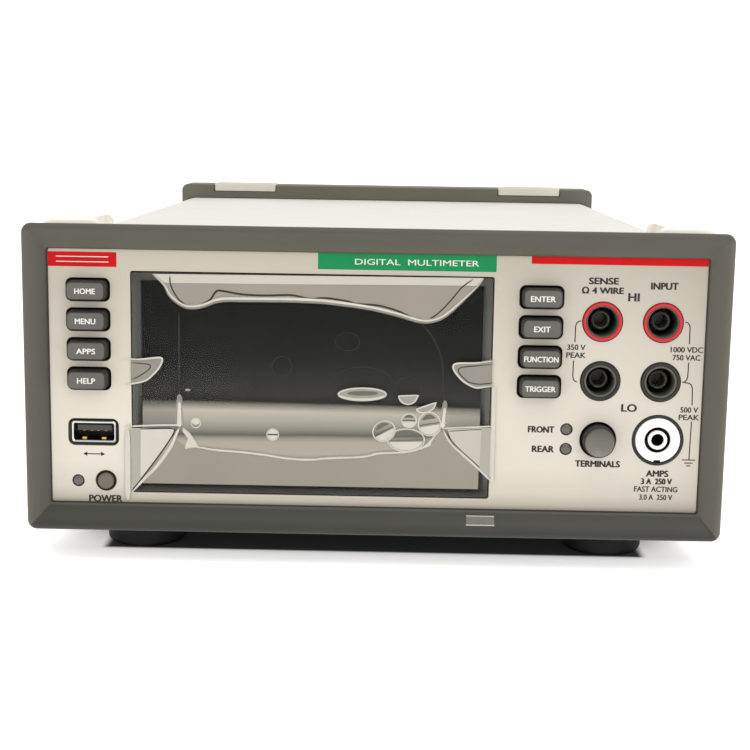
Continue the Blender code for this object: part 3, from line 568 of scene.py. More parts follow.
def panel_painted_shade_material():
    if "front_panel_face" in MATS:
        return MATS["front_panel_face"]
    n = Nodes("front_panel_face")
    up = n.axis("Z", 15.0, 100.0)
    # painted shade: darker towards the bottom, where the bumper's lip shades the panel, and a little darker at the top
    base = n.ramp(up, [(0.0, rgb(140, 130, 118)), (0.037, rgb(150, 140, 126)), (0.06, rgb(196, 188, 173)),
                       (0.10, rgb(220, 214, 201)), (0.2, rgb(232, 226, 213)), (0.45, rgb(230, 223, 210)),
                       (1.0, rgb(199, 192, 177))])
    # painted shade across the panel, darker towards the right
    across = n.ramp(n.axis("X", -106.0, 106.0), [(0.0, (1.0, 0.995, 0.985, 1)), (0.2, (1.0, 1.0, 1.0, 1)),
                                                 (0.55, (0.95, 0.95, 0.95, 1)), (0.8, (0.95, 0.95, 0.95, 1)),
                                                 (1.0, (0.84, 0.84, 0.84, 1))])
    base = n.mix(1.0, base, across, "MULTIPLY")
    slow = n.noise(22.0, 3.0, 0.55)
    tint = n.ramp(slow, [(0.3, (0.965, 0.965, 0.96, 1)), (0.7, (1, 1, 1, 1))])
    col = n.mix(1.0, base, tint, "MULTIPLY")
    fine = n.noise(2600.0, 2.0, 0.6)
    speck = n.ramp(fine, [(0.3, (0.95, 0.95, 0.95, 1)), (0.7, (1, 1, 1, 1))])
    col = n.mix(0.5, col, speck, "MULTIPLY")
    n.link(col, n.p.inputs["Base Color"])
    n.link(n.spread(n.noise(90.0), 0.46, 0.58), n.p.inputs["Roughness"])
    n.p.inputs["Specular IOR Level"].default_value = 0.35
    n.bump(fine, 0.22, 0.03)
    MATS["front_panel_face"] = n.mat
    return n.mat


def glass_painted_reflection_material():
    """Dark display glass with a painted reflection, lighter towards the bottom and black towards the top, and a faint
    vertical haze.
    """
    n = Nodes("display_glass")
    up = n.axis("Z", 24.8, 89.7)
    base = n.ramp(up, [(0.0, rgb(62, 62, 60)), (0.40, rgb(60, 60, 58)), (0.47, rgb(54, 54, 53)),
                       (0.62, rgb(28, 29, 29)), (0.85, rgb(8, 9, 9)), (1.0, rgb(6, 7, 8))])
    haze = n.ramp(n.noise(38.0, 4.0, 0.6, (1.0, 1.0, 0.5)), [(0.35, (0.86, 0.86, 0.86, 1)), (0.7, (1.08, 1.08, 1.08, 1))])
    n.link(n.mix(1.0, base, haze, "MULTIPLY"), n.p.inputs["Base Color"])
    n.link(n.spread(n.noise(120.0), 0.06, 0.14), n.p.inputs["Roughness"])
    n.p.inputs["Specular IOR Level"].default_value = 0.06
    MATS["display_glass"] = n.mat
    return n.mat


def film_material(name, colour, alpha, rough=0.22, spec=0.3, patch=60.0, vary=0.05):
    if name in MATS:
        return MATS[name]
    n = Nodes(name)
    r, g, b = (lin(c) * TONE for c in colour)
    lo = (r * (1 - vary), g * (1 - vary), b * (1 - vary), 1)
    hi = (min(1, r * (1 + vary)), min(1, g * (1 + vary)), min(1, b * (1 + vary)), 1)
    n.link(n.ramp(n.noise(patch, 3.0, 0.5, (1, 1, 0.45)), [(0.3, lo), (0.7, hi)]), n.p.inputs["Base Color"])
    n.link(n.spread(n.noise(patch * 2), rough - 0.05, rough + 0.05), n.p.inputs["Roughness"])
    n.p.inputs["Specular IOR Level"].default_value = spec
    n.p.inputs["Alpha"].default_value = alpha
    MATS[name] = n.mat
    return n.mat


def film_band_painted_reflection_material():
    """The slack lower half of the film, coloured as a painted reflection: light at its upper edge, falling to a dull
    line and light again below it, with painted shade at its left and right ends."""
    n = Nodes("film_slack_band_painted_reflection")
    up = n.axis("Z", 24.8, 52.6)
    tilt = n.axis("X", -74.0, 34.0)
    shift = n.maths("ADD", up, n.maths("MULTIPLY", n.maths("SUBTRACT", 0.5, tilt), 0.055))
    warm = n.noise(26.0, 3.0, 0.5, (1, 1, 0.6))
    shift = n.maths("ADD", shift, n.maths("MULTIPLY", n.maths("SUBTRACT", warm, 0.5), 0.05))
    col = n.ramp(shift, [(0.0, rgb(158, 153, 139)), (0.30, rgb(163, 158, 145)), (0.38, rgb(178, 171, 158)),
                         (0.52, rgb(176, 170, 157)), (0.565, rgb(148, 145, 134)), (0.60, rgb(98, 97, 90)),
                         (0.66, rgb(138, 136, 126)), (0.75, rgb(168, 166, 154)), (0.88, rgb(192, 186, 173)),
                         (0.95, rgb(170, 165, 155)), (1.0, rgb(140, 137, 130))])
    side = n.ramp(tilt, [(0.0, (0.62, 0.62, 0.62, 1)), (0.10, (0.66, 0.66, 0.66, 1)), (0.125, (1, 1, 1, 1)),
                         (0.885, (1, 1, 1, 1)), (0.905, (0.78, 0.78, 0.78, 1)), (1.0, (0.70, 0.70, 0.70, 1))])
    upper = n.ramp(up, [(0.55, (0, 0, 0, 1)), (0.62, (1, 1, 1, 1))])
    side = n.mix(upper, (1.0, 1.0, 1.0, 1.0), side)
    col = n.mix(1.0, col, side, "MULTIPLY")
    n.link(col, n.p.inputs["Base Color"])
    n.link(n.spread(n.noise(80.0), 0.28, 0.4), n.p.inputs["Roughness"])
    n.p.inputs["Specular IOR Level"].default_value = 0.2
    edge = n.maths("ADD", up, n.maths("MULTIPLY", tilt, 0.036))
    n.link(n.ramp(edge, [(0.885, (0.93, 0.93, 0.93, 1)), (0.94, (0.45, 0.45, 0.45, 1)), (0.995, (0, 0, 0, 1))]),
           n.p.inputs["Alpha"])
    MATS["film_slack_band_painted_reflection"] = n.mat
    return n.mat


def metal(name, colour, rough, stretch=None, patch=120.0):
    return surface(name, colour, rough, metal=1.0, vary=0.06, patch=patch, grain=0.06,
                   grain_size=0.25, rough_vary=0.07, stretch=stretch)


BLACK = surface("black_moulding", (40, 40, 41), 0.38, vary=0.10, patch=90.0, grain=0.2, grain_size=0.3, spec=0.35)
JACK_BLACK = surface("jack_black", (34, 34, 32), 0.33, vary=0.12, patch=160.0, grain=0.12, grain_size=0.2, spec=0.35)
JACK_GREY = surface("jack_grey", (92, 92, 84), 0.40, vary=0.10, patch=160.0, grain=0.12, grain_size=0.2, spec=0.35)
JACK_RED = surface("jack_red", (200, 34, 42), 0.34, vary=0.07, patch=150.0, grain=0.10, grain_size=0.2, spec=0.4)
KEY = surface("key_rubber", (98, 97, 92), 0.52, vary=0.06, patch=120.0, grain=0.28, grain_size=0.3, spec=0.35)
BUTTON = surface("button_plastic", (104, 102, 96), 0.42, vary=0.06, patch=140.0, grain=0.2, grain_size=0.25, spec=0.4)
def bezel_painted_shade_material():
    n = Nodes("bezel_frame")
    up = n.axis("Z", 21.0, 93.5)
    # painted shade: darker bands at the bottom and the top of the frame, and thin dark lines near its left and right
    # ends
    base = n.ramp(up, [(0.0, rgb(56, 55, 51)), (0.05, rgb(44, 44, 42)), (0.10, rgb(84, 85, 80)), (0.5, rgb(88, 88, 84)),
                       (0.93, rgb(70, 70, 66)), (1.0, rgb(60, 58, 55))])
    side = n.ramp(n.axis("X", -77.0, 36.6), [(0.0, (1.0, 1.0, 1.0, 1)), (0.029, (0.62, 0.62, 0.62, 1)),
                                             (0.033, (1, 1, 1, 1)), (0.97, (1.0, 1.0, 1.0, 1)),
                                             (0.975, (0.6, 0.6, 0.6, 1)), (0.985, (1.0, 1.0, 1.0, 1))])
    col = n.mix(1.0, base, side, "MULTIPLY")
    drift = n.ramp(n.noise(120.0), [(0.3, (0.92, 0.92, 0.92, 1)), (0.7, (1, 1, 1, 1))])
    n.link(n.mix(1.0, col, drift, "MULTIPLY"), n.p.inputs["Base Color"])
    n.link(n.spread(n.noise(200.0), 0.36, 0.48), n.p.inputs["Roughness"])
    n.p.inputs["Specular IOR Level"].default_value = 0.35
    n.bump(n.noise(2600.0, 2.0), 0.15, 0.03)
    return n.mat


BEZEL = bezel_painted_shade_material()
KEY_SIDE = surface("key_side", (46, 45, 42), 0.55, vary=0.1, patch=120.0, grain=0.25, grain_size=0.3, spec=0.3)
SOCKET_INNER = surface("socket_inner", (62, 62, 56), 0.42, vary=0.1, patch=160.0, grain=0.1, grain_size=0.2, spec=0.4)
SOCKET_CORE = surface("socket_core", (70, 70, 64), 0.22, vary=0.1, patch=200.0, grain=0.08, grain_size=0.2, spec=0.6)
WHITE = surface("carrier_white", (255, 253, 246), 0.32, vary=0.03, patch=120.0, grain=0.1, grain_size=0.25, tone=1.0)
# painted light: a brighter copy of the cover paint, so the lugs' front faces read as lit
LUG_LIT = surface("lug_paint_painted_light", (252, 248, 236), 0.45, vary=0.02, patch=40.0, grain=0.4, grain_size=0.8, tone=0.9)
# painted shade for the dark recesses round the keys and the terminals button
RECESS_SHADE = surface("recess_shadow", (36, 34, 31), 0.6, vary=0.08, patch=120.0, grain=0.2, grain_size=0.3)
LED = surface("led_lens", (88, 83, 78), 0.22, vary=0.08, patch=300.0, grain=0.05, grain_size=0.2, coat=0.5)
FOOT = surface("foot_rubber", (26, 26, 27), 0.72, vary=0.12, patch=80.0, grain=0.4, grain_size=0.5, spec=0.3)
PAD = surface("pad_cream", (226, 221, 208), 0.62, vary=0.04, patch=70.0, grain=0.4, grain_size=0.7)
REAR_BLACK = surface("rear_black", (42, 42, 44), 0.42, vary=0.10, patch=70.0, grain=0.25, grain_size=0.4, spec=0.35)
NICKEL = metal("nickel_plate", (206, 203, 196), 0.24)
USB_STEEL = metal("usb_steel", (226, 226, 226), 0.16)
GOLD = metal("gold_flash", (214, 176, 98), 0.25)
BRASS = metal("contact_brass", (212, 186, 132), 0.27)
TRAY = metal("tray_steel", (190, 191, 190), 0.36, (1.0, 6.0, 1.0))
SCREW = metal("screw_zinc", (178, 178, 174), 0.32)
INK_DARK = surface("ink_dark", (46, 40, 40), 0.55, vary=0.08, patch=200.0, grain=0.05, grain_size=0.2, spec=0.3)
INK_WHITE = surface("ink_white", (240, 238, 232), 0.5, vary=0.03, patch=200.0, grain=0.05, grain_size=0.2, spec=0.3)
INK_RED = surface("ink_red", (208, 4, 12), 0.55, vary=0.05, patch=110.0, grain=0.08, grain_size=0.3, spec=0.15)
INK_GREEN = surface("ink_green", (8, 142, 80), 0.5, vary=0.05, patch=110.0, grain=0.08, grain_size=0.3, spec=0.2)
BUMPER = bumper_band_shade_material()
BUMPER_REAR = surface("moulded_bumper_rear", (104, 101, 88), 0.48, vary=0.05, patch=30.0, grain=0.35,
                      grain_size=0.45, spec=0.42)
PAINT = paint_material()
PANEL_FACE = panel_painted_shade_material()
GLASS = glass_painted_reflection_material()


# ------------------------------------------------------------------ bumpers
def frame_loop(hw, z0, z1, y, r, n=8):
    return at_y(rounded(hw, (z1 - z0) / 2, r, n, 0.0, (z0 + z1) / 2), y)


AP_HW, AP_TOP, AP_BOT = 103.0, 99.5, 18.2
CASE_HW, CASE_TOP, CASE_BOT = 106.5, 100.1, 12.1


def front_bumper():
    y = FRONT
    back = where("front_bumper")[1].y
    loops = [frame_loop(HW - 0.8, Z0 + 0.3, Z1 - 2.0, back, 2.6),
             frame_loop(HW - 0.35, Z0 + 0.08, Z1 - 1.7, back - 0.6, 2.8),
             frame_loop(HW, Z0, Z1, y + 2.0, 3.0)]
    for a in (15, 30, 45, 60, 75, 90):
        s, c = 1 - cos(radians(a)), 1 - sin(radians(a))
        loops.append(frame_loop(HW - 1.7 * s, Z0 + 1.7 * s, Z1 - 1.7 * s, y + 1.9 * c, 3.0 - 1.2 * s))
    loops.append(frame_loop(HW - 2.3, Z0 + 2.3, Z1 - 2.3, y + 0.12, 1.2))
    loops.append(frame_loop(AP_HW + 0.55, AP_BOT - 0.55, AP_TOP + 0.55, y + 3.62, 0.4))
    loops.append(frame_loop(AP_HW + 0.15, AP_BOT - 0.15, AP_TOP + 0.15, y + 3.85, 0.5))
    loops.append(frame_loop(AP_HW, AP_BOT, AP_TOP, y + 4.15, 0.7))
    loops.append(frame_loop(AP_HW, AP_BOT, AP_TOP, PANEL - GAP, 0.7))
    loops.append(frame_loop(CASE_HW + GAP, CASE_BOT - GAP, CASE_TOP + GAP, PANEL - GAP, 0.5))
    loops.append(frame_loop(CASE_HW + GAP, CASE_BOT - GAP, CASE_TOP + GAP, back, 0.5))
    bm = loft(loops, ring=True)
    bites = [turned([(0, 5.0), (13.7, 5.0), (13.7, 15.0), (0, 15.0)], s * 76.5, -153.0, 64, axis="Z")
             for s in (-1, 1)]
    bm = boolean(bm, bites)
    finish("front_bumper_moulding", bm, BUMPER, stands_for=("front_bumper",), smooth=40)


def rear_bumper():
    y0 = where("rear_bumper")[0].y
    ledge = 167.3
    loops = [frame_loop(HW - 0.6, Z0 + 0.6, Z1 - 0.6, y0, 2.8),
             frame_loop(HW - 0.15, Z0 + 0.15, Z1 - 0.15, y0 + 0.4, 3.2),
             frame_loop(HW, Z0, Z1, y0 + 1.2, 3.4),
             frame_loop(HW, Z0, Z1, BACK - 2.0, 3.4)]
    for a in (20, 40, 60, 80):
        s, c = 1 - cos(radians(a)), 1 - sin(radians(a))
        loops.append(frame_loop(HW - 1.9 * s, Z0 + 1.9 * s, Z1 - 1.9 * s, BACK - 0.05 - 1.9 * c, 3.4 - 1.2 * s))
    loops.append(frame_loop(HW - 2.3, Z0 + 2.3, Z1 - 2.3, BACK, 2.2))
    loops.append(frame_loop(106.2, Z0 + 4.5, Z1 - 4.5, BACK, 2.2))
    loops.append(frame_loop(105.8, Z0 + 4.9, Z1 - 4.9, BACK - 0.4, 2.2))
    loops.append(frame_loop(103.6, 17.4, 98.6, ledge + 3.0, 2.0))
    loops.append(frame_loop(103.6, 17.4, 98.6, ledge, 2.0))
    loops.append(frame_loop(CASE_HW + GAP, CASE_BOT - GAP, CASE_TOP + GAP, ledge, 0.5))
    loops.append(frame_loop(CASE_HW + GAP, CASE_BOT - GAP, CASE_TOP + GAP, y0 + 7.0, 0.5))
    loops.append(frame_loop(CASE_HW + GAP, CASE_BOT - GAP, CASE_TOP + GAP, y0, 0.5))
    bm = loft(loops, ring=True)
    cuts = [block(s * 76.0 - 16.8, s * 76.0 + 16.8, y0 - 5, BACK - 6.0, Z1 - 3.7, Z1 + 5) for s in (-1, 1)]
    bm = boolean(bm, cuts)
    finish("rear_bumper_moulding", bm, BUMPER_REAR, stands_for=("rear_bumper",), smooth=40)
    # fillet of the moulding in the two upper corners, behind the cover's folds
    for s, side in ((-1, "left"), (1, "right")):
        pts = [(s * (CASE_HW + 0.25), CASE_TOP + 0.25), (s * (CASE_HW + 0.25), CASE_TOP - 3.6)]
        for i in range(9):
            a = radians(90.0 * i / 8)
            pts.append((s * (CASE_HW - 4.0 + 4.22 * cos(a)), CASE_TOP - 4.0 + 4.22 * sin(a)))
        pts.append((s * (CASE_HW - 3.6), CASE_TOP + 0.25))
        clean = []
        for p in pts:
            if not clean or hypot(p[0] - clean[-1][0], p[1] - clean[-1][1]) > 0.05:
                clean.append(p)
        finish("rear_bumper_fillet_" + side, prism(clean, y0 + 0.4, 166.9), BUMPER_REAR)
    yc = (y0 + 0.2 + BACK - 6.3) / 2
    for s, side in ((-1, "left"), (1, "right")):
        def pad(z, inset):
            return [(s * 76.0 + px, yy, z) for px, yy in
                    rounded(16.5 - inset, 9.2 - inset, 1.2, 5, 0.0, yc)]
        ztop = where("stacking_pad_" + side)[1].z
        bm = loft([pad(Z1 - 3.4, 0.0), pad(ztop - 0.6, 0.0), pad(ztop - 0.25, 0.12), pad(ztop, 0.5)])
        grooves = [block(s * 76.0 - 13.5, s * 76.0 + 13.5, yc + k * 3.6 - 0.5, yc + k * 3.6 + 0.5,
                         ztop - 0.35, ztop + 1) for k in (-1.5, -0.5, 0.5, 1.5)]
        bm = boolean(bm, [join(grooves)])
        finish("stacking_pad_ribbed_" + side, bm, PAD,
               stands_for=("stacking_pad_" + side,), smooth=30)


def corner_lugs():
    y0 = FRONT + 24.3
    y1 = FRONT + 58.0
    for s, side in ((-1, "left"), (1, "right")):
        def lug(inset, y):
            top = Z1 - inset
            out = 109.0 - inset * 0.6
            inn = 91.0 + inset
            pts = [(inn, CASE_TOP + GAP), (inn, top - 1.8)]
            for i in range(1, 5):
                a = radians(180 - 90.0 * i / 4)
                pts.append((inn + 1.8 + 1.8 * cos(a), top - 1.8 + 1.8 * sin(a)))
            for i in range(0, 7):
                a = radians(90 - 90.0 * i / 6)
                pts.append((out - 3.0 + 3.0 * cos(a), top - 3.0 + 3.0 * sin(a)))
            pts += [(out, 84.0 + inset), (CASE_HW + GAP, 82.5 + inset),
                    (CASE_HW + GAP, CASE_TOP - 4.0)]
            for i in range(1, 6):
                a = radians(90.0 * i / 6)
                pts.append((CASE_HW - 4.0 + 4.3 * cos(a), CASE_TOP - 4.0 + 4.3 * sin(a)))
            pts.append((CASE_HW - 4.0, CASE_TOP + GAP))
            return [(s * px, y, pz) for px, pz in pts]
        bm = loft([lug(0.9, y0), lug(0.3, y0 + 0.35), lug(0.0, y0 + 1.0), lug(0.0, y1 - 8.0),
                   lug(0.25, y1 - 4.0), lug(0.7, y1 - 1.8), lug(1.6, y1)])
        notch = block(min(s * 88.0, s * 93.2), max(s * 88.0, s * 93.2), y0 + 4.0, y1 - 8.0,
                      CASE_TOP + 3.4, Z1 + 3)
        bm = boolean(bm, [notch])
        finish("corner_lug_moulding_" + side, bm, LUG_LIT,
               stands_for=("corner_lug_" + side,), smooth=32)


# ------------------------------------------------------------------ case
def case_cover():
    lo, hi = where("case_cover")
    y0, y1 = lo.y, hi.y
    n = 10
    ro, ri, sheet_t = 4.0, 2.5, 1.5

    def outline():
        out, inn = [], []
        out.append((CASE_HW, CASE_BOT))
        for i in range(n + 1):
            a = radians(90.0 * i / n)
            out.append((CASE_HW - ro + ro * cos(a), CASE_TOP - ro + ro * sin(a)))
        for i in range(n + 1):
            a = radians(90 + 90.0 * i / n)
            out.append((-CASE_HW + ro + ro * cos(a), CASE_TOP - ro + ro * sin(a)))
        out.append((-CASE_HW, CASE_BOT))
        inn.append((-CASE_HW + sheet_t, CASE_BOT))
        for i in range(n + 1):
            a = radians(180 - 90.0 * i / n)
            inn.append((-CASE_HW + ro + ri * cos(a), CASE_TOP - ro + ri * sin(a)))
        for i in range(n + 1):
            a = radians(90 - 90.0 * i / n)
            inn.append((CASE_HW - ro + ri * cos(a), CASE_TOP - ro + ri * sin(a)))
        inn.append((CASE_HW - sheet_t, CASE_BOT))
        return out + inn
    bm = prism(outline(), y0, y1)
    cuts = []
    for s in (-1, 1):
        for k in range(14):
            yc = -20.0 + k * 7.5
            loops = []
            for x in (s * 103.5, s * 108.0):
                loops.append([(x, yc + a, 55.0 + b) for a, b in rounded(1.5, 19.0, 1.45, 5)])
            cuts.append(loft(loops))
        for yy, zz in ((-118.0, 24.0), (20.0, 22.5), (148.0, 24.0)):
            loops = []
            for x in (s * 105.9, s * 108.0):
                loops.append([(x, yy + a, zz + b) for a, b in circle(3.4, 24)])
            cuts.append(loft(loops))
    bm = boolean(bm, [join(cuts)])
    finish("case_cover_folded", bm, PAINT, stands_for=("case_cover",), smooth=30)
    # countersunk screws along both sides
    k = 0
    for s, side in ((-1, "left"), (1, "right")):
        for yy, zz in ((-118.0, 24.0), (20.0, 22.5), (148.0, 24.0)):
            k += 1
            screw_x("case_screw_%s_%d" % (side, k), s, yy, zz)
    # inner lining that shows dark behind the side slots
    for s, side in ((-1, "left"), (1, "right")):
        x = s * 103.6
        pts = rounded(52.0, 21.5, 2.0, 4)
        bm = loft([[(x, 28.75 + a, 55.0 + b) for a, b in pts], [(x - s * 0.6, 28.75 + a, 55.0 + b) for a, b in pts]])
        finish("vent_lining_" + side, bm, BLACK, smooth=0)


def screw_x(name, s, y, z, r=3.1):
    """Pan screw with a cross recess whose head faces +-X."""
    x0 = s * 105.95

    def ring(rr, dx):
        return [(x0 + s * dx, y + rr * cos(2 * pi * i / 24), z + rr * sin(2 * pi * i / 24)) for i in range(24)]
    bm = loft([ring(r, 0.0), ring(r, 0.25), ring(r * 0.93, 0.5), ring(r * 0.7, 0.78), ring(r * 0.35, 0.9)])
    cross = [block(x0 + s * 0.3 if s > 0 else x0 - 2.0, x0 + 2.0 if s > 0 else x0 - 0.3,
                   y - a, y + a, z - b, z + b) for a, b in ((1.6, 0.32), (0.32, 1.6))]
    for c in cross:
        for v in c.verts:
            v.co = Vector((v.co.x, y + (v.co.y - y) * cos(0.5) - (v.co.z - z) * sin(0.5),
                           z + (v.co.y - y) * sin(0.5) + (v.co.z - z) * cos(0.5)))
    bm = boolean(bm, cross)
    finish(name, bm, SCREW, smooth=30)


def screw_y(name, x, z, y, r=2.9, face=1, turn=0.4, material=None, body="chassis"):
    """Pan screw whose head stands on a plane of constant y and faces +y (face 1) or -y."""
    def ring(rr, d):
        return [(x + rr * cos(2 * pi * i / 24), y + face * d, z + rr * sin(2 * pi * i / 24)) for i in range(24)]
    bm = loft([ring(r, -0.1), ring(r, 0.45), ring(r * 0.92, 0.85), ring(r * 0.7, 1.15), ring(r * 0.35, 1.3)])
    cross = []
    for a, b in ((1.5, 0.3), (0.3, 1.5)):
        c = block(x - a, x + a, min(y + face * 0.5, y + face * 3), max(y + face * 0.5, y + face * 3), z - b, z + b)
        for v in c.verts:
            v.co = Vector((x + (v.co.x - x) * cos(turn) - (v.co.z - z) * sin(turn), v.co.y,
                           z + (v.co.x - x) * sin(turn) + (v.co.z - z) * cos(turn)))
        cross.append(c)
    bm = boolean(bm, cross)
    finish(name, bm, material or SCREW, body=body, smooth=30)


def feet():
    for tag in ("front_left", "front_right", "rear_left", "rear_right"):
        lo, hi = where("foot_" + tag)
        cx, cy, r = (lo.x + hi.x) / 2, (lo.y + hi.y) / 2, (hi.x - lo.x) / 2
        top = hi.z
        prof = [(0, 1.6), (3.2, 1.6), (3.2, 0.35), (3.5, 0.0), (10.9, 0.0)]
        prof += [(11.0 + 2.0 * sin(radians(a)), 2.0 - 2.0 * cos(radians(a))) for a in (15, 35, 55, 75, 90)]
        prof += [(r - 0.12, 3.4), (r, 4.2), (r, 8.6), (r - 0.4, 8.9), (r - 0.4, 9.5), (r, 9.8), (r, top), (0, top)]
        finish("foot_moulding_" + tag, turned(prof, cx, cy, 64, axis="Z"), FOOT,
               stands_for=("foot_" + tag,), smooth=32)
        head = turned([(0, 0.9), (1.0, 0.8), (2.3, 1.0), (2.7, 1.55), (0, 1.59)], cx, cy, 24, axis="Z")
        finish("foot_screw_" + tag, head, SCREW, smooth=30)


# ------------------------------------------------------------------ front panel
KEYS = [(k, *mid("key_" + k)) for k in ("home", "menu", "apps", "help", "enter", "exit", "function", "trigger")]
JACKS = [(k, *mid("jack_" + k)) for k in ("sense_hi", "input_hi", "sense_lo", "input_lo")]
TERM = mid("terminals_button")
AMPS = mid("amps_housing")
POWER = mid("power_button")
LEDS = [(k, *mid("led_" + k)) for k in ("power", "front", "rear")]
USB = mid("usb_shell")
DISP = mid("display_bezel")
DISP_HW, DISP_HH, WIN_HW, WIN_HH = 56.85, 35.45, 53.7, 32.4


def front_panel():
    lo, hi = where("front_panel")
    y0, y1 = lo.y, hi.y
    zc = (lo.z + hi.z) / 2
    bm = prism(rounded(106.2, (hi.z - lo.z) / 2, 1.2, 4, 0, zc), y0, y1)
    a, b = y0 - 2.0, y1 + 2.0
    cuts = [prism(rounded(DISP_HW, DISP_HH, 0.8, 4, *DISP), a, b)]
    for _, x, z in KEYS:
        cuts.append(prism(rounded(7.0, 3.77, 2.0, 8, x, z), a, b))
    cuts.append(prism(rounded(8.1, 4.4, 2.2, 8, *USB), a, b))
    for _, x, z in JACKS:
        cuts.append(prism(circle(6.4, 64, x, z), a, b))
    cuts.append(prism(circle(5.85, 64, *TERM), a, b))
    cuts.append(prism(circle(8.2, 72, *AMPS), a, b))
    cuts.append(prism(circle(3.4, 40, *POWER), a, b))
    for _, x, z in LEDS:
        cuts.append(prism(circle(2.0, 32, x, z), a, b))
    bm = boolean(bm, [join(cuts)])
    finish("front_panel_face", bm, PANEL_FACE, stands_for=("front_panel",), smooth=30)
    # painted shadow: a dark line where the panel meets the bumper
    zm = (AP_TOP + AP_BOT) / 2
    hz = (AP_TOP - AP_BOT) / 2
    line = loft([at_y(rounded(103.5, hz + 0.5, 0.7, 3, 0, zm), y0 - 0.12), at_y(rounded(103.5, hz + 0.5, 0.7, 3, 0, zm), y0 - 0.03),
                 at_y(rounded(102.62, hz - 0.28, 0.6, 3, 0, zm + 0.1), y0 - 0.03),
                 at_y(rounded(102.62, hz - 0.28, 0.6, 3, 0, zm + 0.1), y0 - 0.06)], ring=True)
    finish("panel_gap_line", line, surface("gap_shadow", (62, 58, 57), 0.6, vary=0.1, patch=80.0, grain=0.2),
           smooth=30)
    # painted shade: dark floors of the openings, set behind the panel
    floors = []
    for _, x, z in KEYS:
        floors.append(("key_well", prism(rounded(7.5, 4.2, 2.0, 6, x, z), y1 + 2.4, y1 + 2.6)))
    done = join([f for _, f in floors])
    finish("key_opening_shade_floor", done, RECESS_SHADE, smooth=30)
    plates = [prism(rounded(8.9, 5.2, 2.2, 6, *USB), y1 + 11.5, y1 + 11.8)]
    rim = loft([at_y(rounded(8.0, 4.3, 2.1, 8, *USB), y0 + 0.5), at_y(rounded(8.0, 4.3, 2.1, 8, *USB), y1 + 3.0),
                at_y(rounded(7.25, 3.65, 1.0, 8, *USB), y1 + 3.0), at_y(rounded(7.25, 3.65, 1.0, 8, *USB), y0 + 0.9)], ring=True)
    finish("usb_gasket", join([rim] + plates), JACK_BLACK, smooth=35)


